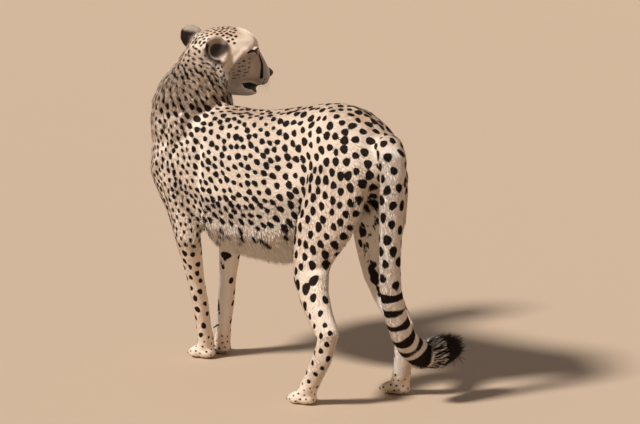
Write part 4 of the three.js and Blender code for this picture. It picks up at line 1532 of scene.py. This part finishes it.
def make_nose():
    """The nose leather, with nostrils and the groove between them."""
    piece = smooth_copy("nose", "nose_leather", 4, 0.5)
    mesh = piece.data
    points = read_points(mesh)
    normals = point_normals(points, read_triangles(mesh))
    places = head.local(points)
    both = folded(places)
    push = -4.2 * np.exp(-(line_distance(both, NOSTRIL) / 2.4) ** 2)
    push -= 1.2 * np.exp(-(places[:, 0] / 1.2) ** 2) * fade(-places[:, 2], 58, 66)
    push += 1.0 * near(both, (11, 190, -58), (6, 6, 4))
    write_points(mesh, head.world(places + (normals @ head.turn.T) * push[:, None]))
    paint = Paint("nose_leather")
    place = paint.node("ShaderNodeTexCoord", None, "Object")
    cells = paint.node("ShaderNodeTexVoronoi", {"feature": "DISTANCE_TO_EDGE"}, 0, Vector=place, Scale=850.0)
    cobble = paint.ramp(cells, 0.0, 0.22)
    colour = paint.mix(cobble * paint.noise(place, 160.0), srgb(20, 14, 12), srgb(74, 52, 44))
    normal = paint.bump(cobble, 0.35 * MM, 0.7)
    mesh.materials.clear()
    mesh.materials.append(paint.finish(Base_Color=colour, Roughness=0.42 - cobble * 0.08, Normal=normal,
                                       Coat_Weight=0.25, Coat_Roughness=0.2))
    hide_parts("nose")
    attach(piece, "root")


CLAW_SEAT = 6.0 * MM      # how far each claw is drawn back into its toe
# Every claw, with the node that it is drawn towards.
CLAWS = [(f"claw_{leg}_{toe}", f"paw_{leg}") for leg in LEGS for toe in TOES]
CLAWS += [(f"dewclaw_{leg}", f"leg_{leg}_lower") for leg in ("fore_left", "fore_right")]


def make_claws():
    """Blunt dark claws, one piece for each."""
    paint = Paint("claw_horn")
    place = paint.node("ShaderNodeTexCoord", None, "Object")
    layers = paint.noise(place, 420.0, 3.0)
    colour = paint.mix(layers, srgb(30, 22, 17), srgb(96, 74, 56))
    material = paint.finish(Base_Color=colour, Roughness=0.34, Normal=paint.bump(layers, 0.2 * MM, 0.5))
    for node, limb in CLAWS:
        piece = smooth_copy(node, f"horn_{node}", 2, 0.3)
        points = read_points(piece.data)
        back = unit((middle(limb) - points.mean(0)) * (1, 1, 0))
        write_points(piece.data, points + back * CLAW_SEAT)
        piece.data.materials.clear()
        piece.data.materials.append(material)
        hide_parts(node)
        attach(piece, "root")


WHISKER_SEED = 3
WHISKER_POINTS = 9
WHISKER_CORNERS = 5
WHISKER_SAG = np.array((0, -0.18, -0.30))    # how far its tip hangs, as a share of its length
WHISKER_RADII = (0.39, 0.05)                 # at the root and at the tip


def rod(path, out, radii):
    """Rings of points round a path, which looks out that way, and the faces between them."""
    aside = unit(np.cross(out, (0, 0, 1.0)))
    other = np.cross(out, aside)
    angle = 2 * math.pi * np.arange(WHISKER_CORNERS) / WHISKER_CORNERS
    ring = np.cos(angle)[:, None] * aside + np.sin(angle)[:, None] * other
    points = path[:, None] + ring * radii[:, None, None]
    corner = np.arange(WHISKER_CORNERS)
    after = (corner + 1) % WHISKER_CORNERS
    strip = np.stack([corner, after, after + WHISKER_CORNERS, corner + WHISKER_CORNERS], axis=1)
    faces = strip + np.arange(len(path) - 1)[:, None, None] * WHISKER_CORNERS
    return points.reshape(-1, 3), faces.reshape(-1, 4)


def make_whiskers(skin_tree):
    """Thin pale whiskers from the pads."""
    rng = np.random.default_rng(WHISKER_SEED)
    share = np.linspace(0, 1, WHISKER_POINTS)[:, None]
    radii = np.linspace(*WHISKER_RADII, WHISKER_POINTS)
    points, faces = [], []
    for side, row, k in itertools.product(SIDES.values(), range(3), range(4)):
        root = mirrored((22 + 5 * k, 178 - 8 * k - row, -78 - 8 * row), side)
        out = unit(mirrored((1.0, 0.05 - 0.22 * k, -0.25 - 0.1 * row + rng.normal(0, 0.08)), side))
        hit = skin_tree.find_nearest(Vector(head.world(root)))
        start = head.local(np.array(hit[0])[None])[0]
        path = start + (out * share + WHISKER_SAG * share ** 2) * rng.uniform(34, 52)
        rings, strips = rod(path, out, radii)
        faces.append(strips + len(points) * len(rings))
        points.append(rings)
    mesh = mesh_from("whiskers", head.world(np.concatenate(points)), np.concatenate(faces))
    piece = new_object("whiskers", mesh)
    paint = Paint("whisker_hair")
    place = paint.node("ShaderNodeTexCoord", None, "Object")
    colour = paint.mix(paint.noise(place, 300.0), srgb(226, 214, 198), srgb(248, 242, 232))
    mesh.materials.append(paint.finish(Base_Color=colour, Roughness=0.5))
    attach(piece, "root")


# ------------------------------------------------------------ stage, light, camera

CAMERA_TURN = math.radians(135.7)
CAMERA_RISE = math.radians(11.05)
CAMERA_AWAY = 10.0
LENS = 204.6
SENSOR = 36.0
FRAME_RIGHT = 0.0616      # how far the view's middle lies from the object's, to the right and down
FRAME_DOWN = -0.0002
GROUND = srgb(194, 169, 144)


def make_camera():
    """The camera, aimed beside the middle of the model's box; gives its directions right and away."""
    low, high = (np.array(corner) for corner in CAD_BOX)
    right = np.array((math.cos(CAMERA_TURN), math.sin(CAMERA_TURN), 0.0))
    away = np.array((math.sin(CAMERA_TURN), -math.cos(CAMERA_TURN), 0.0)) * math.cos(CAMERA_RISE)
    away[2] = math.sin(CAMERA_RISE)
    up = np.cross(away, right)
    aim = (low + high) / 2 + right * FRAME_RIGHT - up * FRAME_DOWN
    camera = bpy.data.cameras.new("camera")
    camera.lens = LENS
    camera.sensor_width = SENSOR
    camera.clip_end = 60.0
    piece = bpy.data.objects.new("camera", camera)
    turn = Matrix((right, up, away)).transposed().to_4x4()
    piece.matrix_world = Matrix.Translation(Vector(aim + away * CAMERA_AWAY)) @ turn
    bpy.context.scene.collection.objects.link(piece)
    bpy.context.scene.camera = piece
    return right, away


FLOOR_RINGS = 48
FLOOR_SPOKES = 96
FLOOR_REACH = 15.0        # metres from the middle to where the floor begins to rise
BACKDROP_RISE = 9.0       # radius of the bend, and height of the backdrop
FLAT_SHARE = 1 / 1.8      # the share of the rings that lies flat


def make_stage():
    """A pale floor that runs up into a backdrop in every direction."""
    points = [(0, 0, 0)]
    for ring in range(1, FLOOR_RINGS + 1):
        share = ring / FLOOR_RINGS
        bend = max(share - FLAT_SHARE, 0) / (1 - FLAT_SHARE) * math.pi / 2
        out = min(share / FLAT_SHARE, 1.0) * FLOOR_REACH + math.sin(bend) * BACKDROP_RISE
        height = (1 - math.cos(bend)) * BACKDROP_RISE
        for spoke in range(FLOOR_SPOKES):
            angle = 2 * math.pi * spoke / FLOOR_SPOKES
            points.append((out * math.cos(angle), out * math.sin(angle), height))
    faces = [(0, 1 + spoke, 1 + (spoke + 1) % FLOOR_SPOKES) for spoke in range(FLOOR_SPOKES)]
    for ring, spoke in itertools.product(range(FLOOR_RINGS - 1), range(FLOOR_SPOKES)):
        after = (spoke + 1) % FLOOR_SPOKES
        a = 1 + ring * FLOOR_SPOKES
        b = a + FLOOR_SPOKES
        faces.append((a + spoke, b + spoke, b + after, a + after))
    mesh = bpy.data.meshes.new("floor")
    mesh.from_pydata(points, [], faces)
    mesh.polygons.foreach_set("use_smooth", np.ones(len(mesh.polygons), bool))
    floor = new_object("floor", mesh)
    paint = Paint("floor_dust")
    mesh.materials.append(paint.finish(Base_Color=GROUND, Roughness=0.95, Specular_IOR_Level=0.1))


SUN_STRENGTH = 4.45
SUN_SPREAD = math.radians(9)
SUN_WAY = (-4.2, 3.1, 5.0)    # how far the sun stands to the view's right, towards the view, and up
SUN_COLOUR = (1.0, 0.99, 0.98)
SKY_STRENGTH = 0.24
SKY_COLOUR = srgb(232, 240, 250)


def make_light(right, away):
    """A soft sun from the view's left, over the camera's shoulder, and an even pale sky."""
    towards_sun = SUN_WAY @ np.stack([right, unit(away * (1, 1, 0)), (0, 0, 1)])
    sun = bpy.data.lights.new("sun", "SUN")
    sun.angle = SUN_SPREAD
    sun.energy = SUN_STRENGTH
    sun.color = SUN_COLOUR
    piece = bpy.data.objects.new("sun", sun)
    piece.location = Vector(towards_sun)
    piece.rotation_euler = Vector(-towards_sun).to_track_quat("-Z", "Y").to_euler()
    bpy.context.scene.collection.objects.link(piece)
    world = bpy.data.worlds.new("sky")
    world.use_nodes = True
    back = world.node_tree.nodes["Background"]
    back.inputs[0].default_value = SKY_COLOUR
    back.inputs[1].default_value = SKY_STRENGTH
    bpy.context.scene.world = world


# ------------------------------------------------------------ putting it together


def bare_skin(surface, coat):
    """True on the lips, the eyes' rims and in the mouth, where the skin is bare and black."""
    lips = (lip_distance(surface.both) < 3.0) & (surface.both[:, 1] > 104)
    rims = opening(surface.places) < 2.6
    return (coat.face > 0.3) & (lips | rims) | surface.in_mouth


bpy.context.scene.view_settings.view_transform = "Standard"

view_right, view_away = make_camera()
make_stage()
make_light(view_right, view_away)

skin = finish_skin()
surface = Surface(skin.data)
surface.grow_fringes()
skin_tree = BVHTree.FromPolygons(surface.points.tolist(), surface.triangles.tolist())
lay_lines(skin_tree)
coat = Coat(surface)
skin.data.materials.clear()
skin.data.materials.append(skin_material())
for field, values in (("spot", coat.marks(surface.points, coat.tail, coat.face)),
                      ("tawny", coat.tawny), ("dark", coat.dark),
                      ("lie", compressed(surface.points, surface.flow)),
                      ("bare", bare_skin(surface, coat).astype(float))):
    set_field(skin.data, field, values)
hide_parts(*FLESH)
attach(skin, "root")

make_coat(surface, coat, coat_material())
eye_material = make_eye_material()
for word in SIDES:
    eye_ball(word, eye_material)
make_nose()
make_claws()
make_whiskers(skin_tree)
